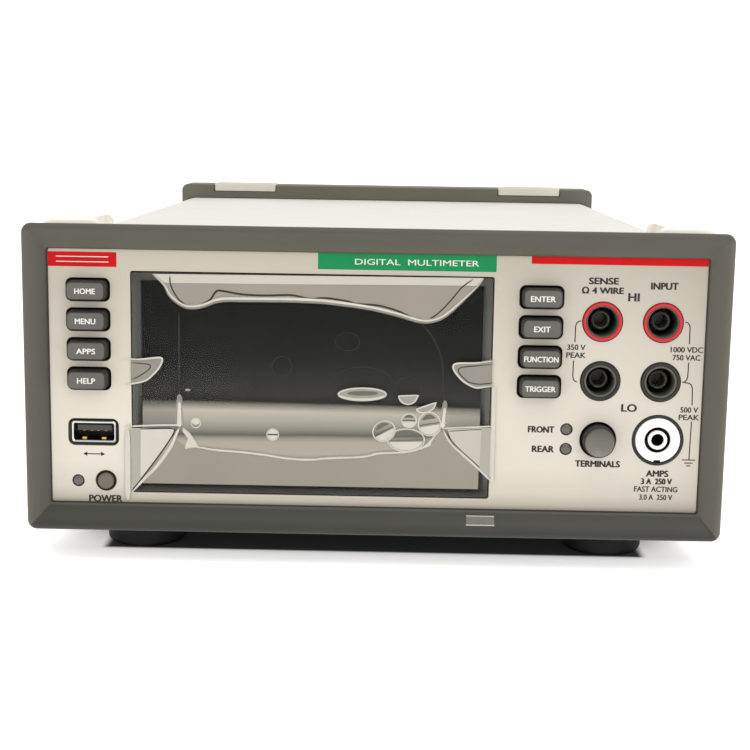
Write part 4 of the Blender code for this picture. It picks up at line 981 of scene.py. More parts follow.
def panel_print():
    y = PANEL - 0.005
    t = 0.02
    red = [sheet(rounded(10.7, 2.3, 0.15, 2, -91.9, 96.1), y, t),
           sheet(rounded(27.55, 1.2, 0.1, 2, 75.45, 98.2), y, t)]
    finish("print_red_blocks", join(red), INK_RED, smooth=0)
    finish("print_green_strip", sheet(rounded(27.75, 2.55, 0.15, 2, 9.35, 96.75), y, t), INK_GREEN,
           smooth=0)
    white = [words("DIGITAL  MULTIMETER", 12.4, 96.75, 38.5, 1.8, y - t - 0.004, 0.012, 0.0, twin=0.02)]
    finish("print_white_words", join(white), INK_WHITE, smooth=0)
    # a plain bar pattern in the red block
    bars = [sheet(rounded(8.2, 0.13, 0.1, 2, -91.9, 96.1 + dz), y - t - 0.004, 0.012) for dz in (-0.8, 0.8)]
    finish("print_block_bars", join(bars), INK_WHITE, smooth=0)
    dark = []
    for text, cx, cz, w, h, b in (
            ("SENSE", 70.5, 92.0, 9.1, 2.0, 0.012), ("Ω 4 WIRE", 70.3, 89.1, 12.8, 2.05, 0.012),
            ("HI", 80.0, 87.1, 3.3, 2.5, 0.016), ("INPUT", 89.4, 90.7, 8.3, 2.1, 0.012),
            ("LO", 80.0, 52.1, 4.7, 2.4, 0.016), ("FRONT", 52.6, 44.7, 8.1, 2.0, 0.012),
            ("REAR", 53.4, 38.4, 6.8, 2.0, 0.012), ("TERMINALS", 70.8, 33.9, 14.0, 2.0, 0.010),
            ("AMPS", 89.8, 31.1, 6.9, 2.0, 0.012), ("POWER", -85.6, 19.6, 10.5, 2.2, 0.012),
            ("3 A  250 V", 89.7, 28.55, 9.6, 1.85, 0.012), ("FAST ACTING", 89.6, 26.0, 13.6, 1.75, 0.0),
            ("3.0 A  250 V", 89.7, 23.4, 10.4, 1.75, 0.0),
            ("350 V", 62.7, 71.1, 5.6, 1.7, 0.0), ("PEAK", 62.7, 68.6, 6.0, 1.7, 0.0),
            ("1000 VDC", 97.2, 70.9, 10.0, 1.7, 0.0), ("750 VAC", 97.2, 68.4, 8.6, 1.7, 0.0),
            ("500 V", 98.9, 51.8, 5.5, 1.7, 0.0), ("PEAK", 98.9, 49.4, 6.3, 1.7, 0.0)):
        dark.append(words(text, cx, cz, w, h, y, 0.012, 0.0, twin=0.16 if b else 0.08))
    finish("print_dark_words", join(dark), INK_DARK, smooth=0)
    lines = []
    for pts in ([(64.0, 79.4), (63.2, 79.3), (62.55, 78.75), (62.25, 77.8), (62.2, 72.7)],
                [(62.0, 66.9), (61.95, 61.8), (62.25, 60.8), (62.7, 60.3), (63.3, 60.1)],
                [(96.3, 79.7), (97.1, 79.4), (97.6, 78.8), (97.85, 78.0), (97.9, 72.7)],
                [(98.0, 66.9), (97.9, 62.4), (97.6, 61.4), (97.1, 60.8), (96.3, 60.5)],
                [(97.0, 60.45), (98.3, 60.4), (99.2, 59.8), (99.55, 58.6), (99.7, 53.3)],
                [(99.8, 48.1), (99.6, 35.7)]):
        for p, q in zip(pts[:-1], pts[1:]):
            d = hypot(q[0] - p[0], q[1] - p[1])
            nx, nz = -(q[1] - p[1]) / d * 0.18, (q[0] - p[0]) / d * 0.18
            lines.append(prism([(p[0] - nx, p[1] - nz), (q[0] - nx, q[1] - nz), (q[0] + nx, q[1] + nz),
                                (p[0] + nx, p[1] + nz)], y - t, y))
    for z, w in ((35.7, 4.3), (34.7, 2.7), (33.8, 1.4)):
        lines.append(sheet(rounded(w / 2, 0.17, 0.1, 2, 99.5, z), y, t))
    # a neutral two-way arrow under the serial port
    lines.append(sheet(rounded(2.6, 0.17, 0.1, 2, -89.1, 34.1), y, t))
    for s in (-1, 1):
        lines.append(prism([(-89.1 + s * 3.5, 34.1), (-89.1 + s * 2.2, 34.8), (-89.1 + s * 2.2, 33.4)], y - t, y))
    finish("print_dark_lines", join(lines), INK_DARK, smooth=0)


# ------------------------------------------------------------------ keys
LEGENDS = {"home": ("HOME", 6.3), "menu": ("MENU", 6.3), "apps": ("APPS", 5.9), "help": ("HELP", 5.6),
           "enter": ("ENTER", 7.6), "exit": ("EXIT", 5.0), "function": ("FUNCTION", 10.6),
           "trigger": ("TRIGGER", 9.4)}


def keys():
    shade_rings = []
    for k, x, z in KEYS:
        lo, hi = where("key_" + k)
        tip = lo.y
        hx, hz = 6.4, 3.2
        skirt = [at_y(rounded(hx - 0.62, hz - 0.56, 1.5, 8, x, z), tip + 0.62),
                 at_y(rounded(hx - 0.42, hz - 0.38, 1.6, 8, x, z), tip + 0.75),
                 at_y(rounded(hx - 0.28, hz - 0.25, 1.7, 8, x, z), tip + 1.3),
                 at_y(rounded(hx, hz, 1.8, 8, x, z), PANEL + 3.3),
                 at_y(rounded(hx + 0.9, hz + 0.7, 1.8, 8, x, z), PANEL + 3.3),
                 at_y(rounded(hx + 0.9, hz + 0.7, 1.8, 8, x, z), PANEL + 4.4)]
        finish("keycap_skirt_" + k, loft(skirt), KEY_SIDE, body="key_" + k,
               stands_for=("key_" + k,), smooth=34)
        face = [at_y(rounded(hx - 1.45, hz - 1.3, 0.9, 8, x, z), tip + 0.05),
                at_y(rounded(hx - 1.15, hz - 1.05, 1.1, 8, x, z), tip + 0.02),
                at_y(rounded(hx - 0.95, hz - 0.88, 1.25, 8, x, z), tip + 0.03),
                at_y(rounded(hx - 0.78, hz - 0.72, 1.35, 8, x, z), tip + 0.14),
                at_y(rounded(hx - 0.68, hz - 0.62, 1.45, 8, x, z), tip + 0.32),
                at_y(rounded(hx - 0.64, hz - 0.58, 1.5, 8, x, z), tip + 0.60)]
        finish("keycap_face_" + k, loft(face), KEY, body="key_" + k, smooth=34)
        text, w = LEGENDS[k]
        finish("legend_" + k, words(text, x, z - 0.05, w, 1.7, tip + 0.048, 0.012, 0.0, twin=0.07), INK_WHITE,
               body="key_" + k, smooth=0)
        # painted shade lining the walls of each key pocket
        shade_rings.append(loft([at_y(rounded(6.97, 3.74, 1.95, 8, x, z), PANEL + 0.12),
                            at_y(rounded(6.97, 3.74, 1.95, 8, x, z), PANEL + 3.0),
                            at_y(rounded(6.72, 3.49, 1.9, 8, x, z), PANEL + 3.0),
                            at_y(rounded(6.72, 3.49, 1.9, 8, x, z), PANEL + 0.3)], ring=True))
    finish("key_pocket_painted_shade", join(shade_rings), RECESS_SHADE, smooth=35)


# ------------------------------------------------------------------ sockets
def jacks():
    y = PANEL
    for k, x, z in JACKS:
        hi = k.endswith("hi")
        ring = JACK_RED if hi else JACK_BLACK
        r_in = 4.95 if hi else 5.1
        outer = [(r_in, y + 0.4), (r_in, y - 0.05), (r_in + 0.12, y - 0.32), (r_in + 0.32, y - 0.46), (5.7, y - 0.5),
                 (5.98, y - 0.42), (6.14, y - 0.2), (6.18, y + 0.1), (6.18, y + 3.2), (5.9, y + 3.4),
                 (r_in, y + 3.4)]
        finish("socket_ring_" + k, turned(outer, x, z, 64, closed=True), ring,
               smooth=38)
        r_lin = r_in - 0.03
        r_bore = 4.5 if hi else 4.3
        liner = [(r_bore, y + 0.75), (r_bore + 0.1, y + 0.2), (r_bore + 0.25, y - 0.12), (r_lin, y - 0.15),
                 (r_lin, y + 3.0), (r_bore, y + 3.0)]
        finish("socket_liner_" + k, turned(liner, x, z, 64, closed=True), JACK_GREY, smooth=38)
        well = [(r_bore, y + 3.03), (r_lin, y + 3.03), (r_lin, y + 3.5), (6.1, y + 3.5), (6.1, y + 19.0), (3.2, y + 19.0),
                (3.2, y + 17.0), (r_bore, y + 17.0)]
        finish("socket_well_" + k, turned(well, x, z, 64, closed=True), SOCKET_INNER,
               stands_for=("jack_" + k,), smooth=38)
        core = [(2.1, y + 5.0), (2.25, y + 4.75), (2.6, y + 4.6), (2.9, y + 4.7), (3.08, y + 4.95), (3.15, y + 5.3),
                (3.15, y + 18.8), (2.6, y + 18.8), (2.6, y + 9.0), (2.1, y + 9.0)]
        finish("socket_core_" + k, turned(core, x, z, 56, closed=True), SOCKET_CORE, smooth=38)
        sleeve = [(2.0, y + 9.4), (2.15, y + 9.15), (2.42, y + 9.3), (2.42, y + 22.0), (2.0, y + 22.0)]
        finish("contact_sleeve_" + k, turned(sleeve, x, z, 48, closed=True), BRASS,
               stands_for=("contact_" + k,), smooth=38)
        stop = turned([(0, y + 12.0), (1.9, y + 12.0), (1.9, y + 13.0), (0, y + 13.0)], x, z, 32)
        finish("socket_stop_" + k, stop, JACK_BLACK, smooth=38)


def amps():
    y = PANEL
    x, z = AMPS
    housing = [(7.25, y + 0.3), (7.3, y - 0.15), (7.45, y - 0.28), (7.75, y - 0.29), (8.0, y - 0.15), (8.05, y + 0.1),
               (8.05, y + 3.2), (7.9, y + 3.4), (7.9, y + 47.0), (6.0, y + 47.0), (6.0, y + 3.3), (7.25, y + 3.3)]
    finish("amps_collar", turned(housing, x, z, 72, closed=True), JACK_BLACK,
           stands_for=("amps_housing",), smooth=38)
    outer = [(4.15, y + 1.0), (4.15, y - 0.02), (4.3, y - 0.25), (4.55, y - 0.4), (5.0, y - 0.47), (6.4, y - 0.47),
             (6.85, y - 0.38), (7.05, y - 0.15), (7.1, y + 0.2), (7.1, y + 1.0)]
    bm = turned(outer, x, z, 72, closed=True)
    notch = block(x - 1.1, x + 1.1, y - 2.0, y + 3.0, z - 8.0, z - 6.3)
    bm = boolean(bm, [notch])
    finish("amps_carrier_rim", bm, WHITE, body="amps_carrier", smooth=35)
    inner = [(2.0, y + 0.5), (2.05, y - 0.1), (2.3, y - 0.35), (2.6, y - 0.42), (2.9, y - 0.3), (3.0, y - 0.05),
             (3.0, y + 1.0), (2.0, y + 1.0)]
    finish("amps_carrier_core", turned(inner, x, z, 56, closed=True), WHITE, body="amps_carrier",
           smooth=38)
    dark = surface("carrier_dark", (40, 38, 36), 0.45, vary=0.1, patch=150.0, grain=0.1)
    tube = [(7.05, y + 1.05), (4.12, y + 1.05), (4.12, y + 6.2), (3.02, y + 6.2), (3.02, y + 1.05), (2.0, y + 1.05),
            (2.0, y + 19.8), (0, y + 19.8), (0, y + 24.0), (2.95, y + 24.0), (2.95, y + 45.8), (5.65, y + 45.8),
            (5.65, y + 2.95), (7.05, y + 2.95)]
    finish("amps_carrier_barrel", turned(tube, x, z, 56, closed=True), dark, body="amps_carrier",
           stands_for=("amps_fuse_carrier",), smooth=35)


def buttons():
    y = PANEL
    x, z = TERM
    tip = where("terminals_button")[0].y
    side = [(0, tip + 1.6), (4.6, tip + 1.6), (4.62, tip + 0.42), (4.8, tip + 0.5), (4.95, tip + 0.75), (5.0, tip + 1.1),
            (5.0, y + 5.6), (4.7, y + 6.0), (0, y + 6.0)]
    finish("terminals_button_body", turned(side, x, z, 64), KEY_SIDE, body="terminals_button",
           stands_for=("terminals_button",), smooth=38)
    face = [(0, tip + 1.25), (1.0, tip + 1.18), (2.0, tip + 0.95), (3.0, tip + 0.6), (3.7, tip + 0.28),
            (4.1, tip + 0.08), (4.3, tip + 0.02), (4.5, tip + 0.12), (4.58, tip + 0.3), (4.58, tip + 1.57), (0, tip + 1.57)]
    n = Nodes("button_face_painted_shade")
    up = n.axis("Z", z - 5.0, z + 5.0)
    # painted shade: the dished face is lighter at the bottom and darker towards the top
    base = n.ramp(up, [(0.0, rgb(136, 132, 118)), (0.45, rgb(112, 110, 101)), (0.8, rgb(88, 86, 80)), (1.0, rgb(68, 66, 62))])
    drift = n.ramp(n.noise(200.0), [(0.3, (0.93, 0.93, 0.93, 1)), (0.7, (1, 1, 1, 1))])
    n.link(n.mix(1.0, base, drift, "MULTIPLY"), n.p.inputs["Base Color"])
    n.link(n.spread(n.noise(300.0), 0.3, 0.4), n.p.inputs["Roughness"])
    finish("terminals_button_face", turned(face, x, z, 64), n.mat, body="terminals_button", smooth=38)
    # painted shade in the gap round the button
    guide = [(5.3, y + 1.2), (5.8, y + 0.7), (5.8, y + 7.0), (5.3, y + 7.0)]
    finish("terminals_button_guide", turned(guide, x, z, 64, closed=True), RECESS_SHADE, smooth=38)
    x, z = POWER
    tip = where("power_button")[0].y
    cap = [(0, tip + 0.12), (0.9, tip + 0.1), (1.6, tip + 0.0), (2.1, tip + 0.06), (2.4, tip + 0.25),
           (2.58, tip + 0.6), (2.6, tip + 1.0), (2.6, y + 3.4), (0, y + 3.4)]
    finish("power_button_cap", turned(cap, x, z, 48), surface("power_plastic", (108, 101, 88), 0.4, vary=0.06,
           patch=200.0, grain=0.15), body="power_button", stands_for=("power_button",),
           smooth=38)
    ring = [(2.75, y + 0.9), (2.85, y + 0.15), (3.1, y + 0.0), (3.36, y + 0.05), (3.36, y + 3.0), (2.75, y + 3.0)]
    finish("power_button_ring", turned(ring, x, z, 48, closed=True), BLACK, smooth=38)
    for k, lx, lz in LEDS:
        prof = [(0, y - 0.19), (0.7, y - 0.16), (1.3, y - 0.02), (1.62, y + 0.18), (1.75, y + 0.5),
                (1.75, y + 3.4), (2.3, y + 3.4), (2.3, y + 8.0), (0, y + 8.0)]
        finish("led_lens_" + k, turned(prof, lx, lz, 40), LED, stands_for=("led_" + k,), smooth=38)


def usb_front():
    lo, hi = where("usb_shell")
    x, z = USB
    y = lo.y
    shell = loft([
        at_y(rounded(7.1, 3.5, 0.9, 6, x, z), y + 0.25), at_y(rounded(7.1, 3.5, 0.9, 6, x, z), y + 13.2),
        at_y(rounded(6.3, 2.6, 0.5, 6, x, z), y + 13.2), at_y(rounded(6.3, 2.6, 0.5, 6, x, z), y + 0.5),
        at_y(rounded(6.55, 2.85, 0.6, 6, x, z), y + 0.1), at_y(rounded(6.85, 3.25, 0.8, 6, x, z), y + 0.0)], ring=True)
    finish("usb_shell_formed", shell, USB_STEEL, stands_for=("usb_shell",), smooth=40)
    back = prism(rounded(6.2, 2.5, 0.4, 4, x, z), y + 11.8, y + 12.3)
    tongue = loft([at_y(rounded(5.4, 0.85, 0.2, 3, x, z + 1.05), y + 1.7), at_y(rounded(5.6, 0.95, 0.2, 3, x, z + 1.05), y + 2.1),
                   at_y(rounded(5.6, 0.95, 0.2, 3, x, z + 1.05), y + 11.8)])
    finish("usb_tongue", join([tongue, back]), surface("usb_tongue_plastic", (62, 60, 60), 0.4, vary=0.08, patch=200.0,
           grain=0.1), stands_for=("usb_insert",), smooth=35)
    pins = []
    for px in (-3.5, -1.0, 1.0, 3.5):
        pins.append(block(x + px - 0.45, x + px + 0.45, y + 2.4, y + 9.0, z - 0.05, z + 0.12))
    for s in (-1, 1):
        pins.append(loft([[(x + s * 3.1 + a, y + 0.9 + yy, z - 2.15 + b) for a, b in rounded(0.7, 0.28, 0.1, 2)]
                          for yy in (0.0, 4.0)]))
    finish("usb_contacts", join(pins), GOLD, smooth=30)


# ------------------------------------------------------------------ display
def display():
    def loop(hx, hz, y, r, n=5):
        return at_y(rounded(hx, hz, r, n, *DISP), y)
    y = PANEL
    rows = [loop(DISP_HW - 0.3, DISP_HH - 0.3, y + 0.45, 0.6), loop(DISP_HW - 0.45, DISP_HH - 0.45, y + 0.12, 0.6),
            loop(DISP_HW - 0.75, DISP_HH - 0.75, y + 0.1, 0.6),
            loop(WIN_HW + 0.12, WIN_HH + 0.12, y + 1.38, 0.5), loop(WIN_HW, WIN_HH, y + 1.55, 0.5),
            loop(WIN_HW, WIN_HH, y + 2.1, 0.5), loop(WIN_HW + 1.3, WIN_HH + 1.3, y + 2.1, 0.5),
            loop(WIN_HW + 1.3, WIN_HH + 1.3, y + 6.4, 0.5), loop(DISP_HW - 0.3, DISP_HH - 0.3, y + 6.4, 0.6)]
    finish("display_frame", loft(rows, ring=True), BEZEL, stands_for=("display_bezel",), smooth=30)
    glass = loft([loop(WIN_HW + 0.9, WIN_HH + 0.9, y + 2.4, 0.5), loop(WIN_HW + 1.0, WIN_HH + 1.0, y + 2.5, 0.5),
                  loop(WIN_HW + 1.0, WIN_HH + 1.0, y + 4.1, 0.5)])
    finish("display_glass_pane", glass, GLASS, stands_for=("touch_glass",), smooth=30)


# outlines of the film's slack areas, (x, z)
TOP_RIDGE = [(-69.9, 91.89), (-67.96, 90.16), (-66.02, 88.24), (-64.48, 85.53), (-62.15, 83.41), (-59.81, 82.16),
             (-57.86, 81.92), (-55.12, 82.24), (-52.77, 83.07), (-50.42, 84.01), (-47.29, 84.57), (-42.61, 84.65),
             (-34.8, 84.71), (-26.99, 84.77), (-19.97, 84.62), (-16.07, 84.41), (-8.26, 83.57), (-0.45, 82.41),
             (7.38, 80.58), (11.3, 79.4), (14.44, 78.74), (17.55, 78.92), (21.03, 80.35), (24.85, 83.56),
             (28.64, 87.14), (31.29, 89.73), (33.17, 92.09)]
TOP_FOLDS = ([(-64.44, 91.4), (-64.45, 89.83), (-64.15, 88.27), (-63.3, 86.33), (-61.76, 84.01), (-59.81, 82.6)],
             [(-54.73, 82.7), (-51.98, 84.1), (-50.81, 85.77), (-49.63, 86.96), (-47.29, 86.81), (-44.17, 86.27),
              (-40.66, 85.86), (-34.8, 85.73), (-27.0, 86.0), (-23.88, 85.55), (-20.75, 85.13)],
             [(-20.75, 84.98), (-16.08, 85.27), (-12.18, 84.87), (-8.27, 84.2), (-6.31, 83.6), (-0.46, 83.35),
              (3.45, 82.6), (7.37, 81.35), (10.52, 79.98)],
             [(16.76, 79.4), (18.3, 80.31), (20.97, 82.71), (24.0, 86.28), (26.64, 89.45), (29.88, 91.92)])
CURVE = [(-59.48, 36.86), (-56.1, 37.04), (-50.53, 36.22), (-42.59, 35.68), (-34.64, 34.9), (-28.67, 34.0),
         (-22.71, 33.6), (-18.74, 33.7), (-15.57, 34.1), (-3.68, 34.88), (1.07, 35.99), (6.21, 36.37),
         (10.17, 36.69), (13.32, 37.44), (16.06, 38.7), (18.0, 40.56), (19.15, 42.19), (21.08, 44.05)]
CORNER_L = [(-77.31, 42.71), (-63.61, 43.13), (-63.14, 41.85), (-69.25, 33.22), (-73.09, 28.05), (-76.94, 23.06)]
CORNER_R = [(23.05, 44.2), (31.72, 44.77), (37.43, 45.04), (37.32, 27.95), (32.84, 32.26), (27.18, 37.09), (24.32, 40.68)]
TAB_L = [(-79.61, 64.93), (-74.09, 64.91), (-70.15, 65.37), (-67.58, 65.54), (-67.08, 64.55), (-68.21, 62.15),
         (-70.2, 59.92), (-72.58, 58.07), (-76.94, 57.03), (-79.12, 56.75)]
TAB_R = [(37.6, 66.44), (31.16, 65.62), (25.68, 65.4), (24.34, 64.42), (24.97, 62.65), (26.99, 60.3),
         (28.59, 59.13), (31.37, 57.83), (33.72, 57.95), (37.6, 58.69)]


def film():
    y = PANEL - 0.36
    lo, hi = where("screen_film")
    # the zone, ridge, halo, flare and bubble colours below are painted reflection, highlight and shade on the film;
    # only the sheet itself is clear
    sheet_mat = film_material("film_clear", (214, 212, 203), 0.006, rough=0.12, spec=0.1)
    haze = film_material("film_painted_reflection_upper", (160, 154, 143), 0.95, rough=0.34, spec=0.15, patch=24.0, vary=0.05)
    upper = film_material("film_upper_lip", (206, 201, 189), 0.97, rough=0.35, spec=0.2, patch=24.0, vary=0.02)
    light = film_material("film_painted_light_patch", (216, 212, 200), 0.94, rough=0.3, spec=0.2, patch=40.0, vary=0.03)
    bright = film_material("film_ridge", (216, 212, 200), 0.94, rough=0.25, spec=0.3, patch=200.0, vary=0.06)
    soft = film_material("film_soft_ridge", (178, 175, 165), 0.75, rough=0.3, spec=0.2, patch=120.0, vary=0.08)
    faint = film_material("film_faint_ridge", (58, 58, 57), 0.42, rough=0.3, spec=0.2, patch=120.0, vary=0.08)
    dark = film_material("film_fold_shadow", (62, 57, 54), 0.9, rough=0.4, spec=0.1, patch=200.0, vary=0.08)
    clear = sheet(rounded((hi.x - lo.x) / 2, (hi.z - lo.z) / 2, 1.5, 6, (lo.x + hi.x) / 2, (lo.z + hi.z) / 2), y, 0.03)
    finish("film_sheet", clear, sheet_mat, stands_for=("screen_film",), smooth=0)
    # upper slack zone, from the frame's top edge down to the wavy ridge, coloured as a painted reflection with a
    # painted highlight along its upper lip
    ridge = spline(TOP_RIDGE, 4)
    top = [p for p in ridge if p[1] <= 89.2]
    zone = [(-66.6, 89.15)] + top + [(30.8, 89.75)]
    finish("film_slack_upper", sheet(zone, y - 0.05), haze, smooth=0)
    lip = [(-69.6, 91.8), (-66.9, 89.1), (31.0, 89.85), (33.1, 92.0), (33.1, 92.35), (-69.6, 91.9)]
    finish("film_slack_lip", sheet(lip, y - 0.05), upper, smooth=0)
    # lower slack band: painted reflection
    band = [(-73.4, 52.9), (33.2, 52.7), (33.2, 25.0), (-73.6, 24.95)]
    finish("film_slack_lower", sheet(band, y - 0.05), film_band_painted_reflection_material(), smooth=0)
    # below the crease: painted reflection
    below = list(spline(CURVE, 5)) + [(27.0, 37.2), (33.2, 31.0), (33.2, 25.3), (-73.6, 25.25), (-69.3, 30.0), (-63.0, 39.5)]
    finish("film_below_crease", sheet(below, y - 0.10), film_material("film_painted_reflection_below_crease", (157, 153, 139), 0.95,
           rough=0.34, spec=0.15, patch=22.0, vary=0.05), smooth=0)
    # lighter corner areas: painted reflection
    finish("film_corner_left", sheet(CORNER_L, y - 0.15), light, smooth=0)
    finish("film_corner_right", sheet(CORNER_R, y - 0.15), film_material("film_painted_light_right", (200, 196, 183), 0.94,
           rough=0.3, spec=0.2, patch=40.0, vary=0.03), smooth=0)
    # film over the frame: painted reflection
    over = film_material("film_painted_reflection_over_frame", (180, 177, 164), 0.95, rough=0.34, spec=0.15, patch=40.0)
    finish("film_over_frame_left", sheet([(-77.2, 42.5), (-74.1, 42.6), (-74.3, 26.8), (-76.9, 23.3)], y - 0.19), over,
           smooth=0)
    finish("film_over_frame_right", sheet([(33.7, 44.7), (36.6, 44.8), (36.6, 28.8), (33.5, 31.6)], y - 0.19), over,
           smooth=0)
    # side tabs where the film bows out, coloured as a painted reflection
    tab = film_material("film_painted_reflection_tab", (156, 153, 143), 0.86, rough=0.3, spec=0.2, patch=60.0)
    left = [(max(-77.0, px), pz) for px, pz in spline(TAB_L, 4, True)]
    left = [q for i, q in enumerate(left) if hypot(q[0] - left[i - 1][0], q[1] - left[i - 1][1]) > 0.05]
    right = [(min(36.6, px), pz) for px, pz in spline(TAB_R, 4, True)]
    right = [q for i, q in enumerate(right) if hypot(q[0] - right[i - 1][0], q[1] - right[i - 1][1]) > 0.05]
    finish("film_tab_left", sheet(left, y - 0.05), tab, smooth=0)
    finish("film_tab_right", sheet(right, y - 0.05), tab, smooth=0)
    yb = y - 0.2
    # painted highlight lines along the ridges and the tab edges
    ridges = [
        ribbon(TOP_RIDGE, lambda t: 0.5 + 0.3 * sin(pi * t) ** 4, yb, 0.06, 4),
        ribbon(CURVE, 0.6, yb, 0.07, 5),
        ribbon([(-79.29, 43.24), (-70.35, 43.81), (-63.6, 44.02), (-61.62, 43.9)], 0.55, yb, 0.06),
        ribbon([(-61.82, 43.09), (-62.83, 41.05), (-64.85, 36.55), (-69.28, 30.37), (-72.91, 26.62), (-77.36, 21.6)],
               lambda t: 0.6 + 0.4 * sin(pi * t), yb, 0.07),
        ribbon([(-61.77, 51.54), (-61.8, 47.12), (-61.82, 43.49)], lambda t: 0.9 + 0.6 * t, yb, 0.08),
        ribbon([(21.47, 44.46), (25.8, 44.82), (31.71, 45.17), (37.81, 45.57)], 0.5, yb, 0.06),
        ribbon([(21.67, 44.06), (23.94, 40.07), (27.18, 36.81), (32.85, 31.85), (37.7, 27.2)], 0.55, yb, 0.07),
        ribbon([(22.02, 51.26), (21.78, 47.88), (21.46, 44.66)], lambda t: 0.7 + 0.6 * t, yb, 0.08),
        ribbon([(-78.3, 42.6), (-78.4, 30.0), (-78.45, 19.4)], 1.7, yb, 0.05),
        ribbon([(37.35, 58.0), (37.45, 44.0), (37.6, 27.0)], 1.1, yb, 0.05, taper=False),
        ribbon(TAB_L[:], 0.55, yb, 0.06, 4), ribbon(TAB_R[:], 0.55, yb, 0.06, 4),
    ]
    finish("film_ridges", join(ridges), bright, smooth=60)
    # painted highlight flares
    flares = [sheet([(-60.63, 43.31), (-58.46, 41.53), (-56.88, 39.13), (-55.9, 37.05), (-60.08, 36.4), (-59.67, 38.27),
                     (-59.06, 39.7), (-60.84, 42.09)], y - 0.16),
              sheet([(18.2, 40.56), (17.84, 38.94), (13.72, 37.04), (15.68, 38.09)], y - 0.16)]
    finish("film_flares", join(flares), light, smooth=0)
    # painted halos of light round the ridges
    glow = film_material("film_painted_halo", (190, 186, 175), 0.38, rough=0.4, spec=0.1, patch=200.0)
    halos = [ribbon(TOP_RIDGE, lambda t: 1.2 + 1.0 * sin(pi * t), y - 0.105, 0.02, 4),
             ribbon(CURVE, 1.8, y - 0.152, 0.02, 5),
             ribbon([(-61.74, 54.0), (-61.77, 51.54), (-61.8, 47.12), (-61.82, 43.49)], lambda t: 1.4 + 1.4 * t, y - 0.152, 0.02),
             ribbon([(22.1, 53.5), (22.02, 51.26), (21.78, 47.88), (21.46, 44.66)], lambda t: 1.2 + 1.4 * t, y - 0.152, 0.02)]
    finish("film_painted_ridge_halo", join(halos), glow, smooth=60)
    folds = [ribbon(p, w, y - 0.16, 0.03, 5) for p, w in zip(TOP_FOLDS, (0.4, 0.6, 0.55, 0.4))]
    folds += [ribbon([(-76.86, 63.78), (-73.32, 63.57), (-70.96, 63.09), (-71.36, 61.69), (-74.15, 59.64),
                      (-76.93, 58.39)], 0.3, y - 0.16, 0.03, 5),
              ribbon([(37.04, 65.37), (31.19, 64.67), (26.5, 63.95), (26.35, 62.27), (28.96, 59.74), (30.14, 59.3),
                      (32.51, 58.9), (35.26, 59.17), (37.21, 59.45)], 0.3, y - 0.16, 0.03, 5),
              ribbon([(-77.2, 42.35), (-70.0, 42.75), (-64.2, 42.85), (-63.55, 41.7), (-66.2, 37.2), (-69.7, 32.2),
                      (-73.4, 27.3), (-77.1, 22.4)], 0.4, y - 0.2, 0.03, 5),
              ribbon([(23.3, 43.6), (30.0, 44.2), (37.2, 44.6)], 0.25, y - 0.2, 0.03, 5),
              ribbon([(23.0, 42.9), (24.9, 40.1), (27.7, 37.3), (33.0, 32.6), (37.3, 28.4)], 0.3, y - 0.2, 0.03, 5)]
    finish("film_fold_shadows", join(folds), dark, smooth=60)
    # faint ridges and rings: painted faint highlight lines
    quiet = [ribbon([(-61.74, 80.0), (-61.7, 70.0), (-61.74, 56.75), (-61.77, 51.6)], 0.6, y - 0.1, 0.03, 5),
             ribbon([(14.06, 77.87), (17.67, 73.6), (20.55, 67.33), (21.32, 59.4), (21.6, 55.89), (22.02, 51.26)],
                    0.55, y - 0.1, 0.03, 5)]
    rings = [(-59.07, 56.4, 1.5, 1.55), (-29.38, 63.41, 3.14, 3.19), (-3.99, 59.25, 9.12, 4.47), (10.34, 56.64, 4.09, 4.16),
             (-8.89, 71.64, 3.76, 2.85), (-39.28, 57.13, 1.51, 1.54)]
    for cx, cz, rx, rz in rings:
        quiet.append(ribbon(ellipse(cx, cz, rx, rz, n=16), 0.3, y - 0.1, 0.03, 3, closed=True))
    finish("film_faint_ridges", join(quiet), faint, smooth=60)
    bubbles(y, bright, soft, light, dark)


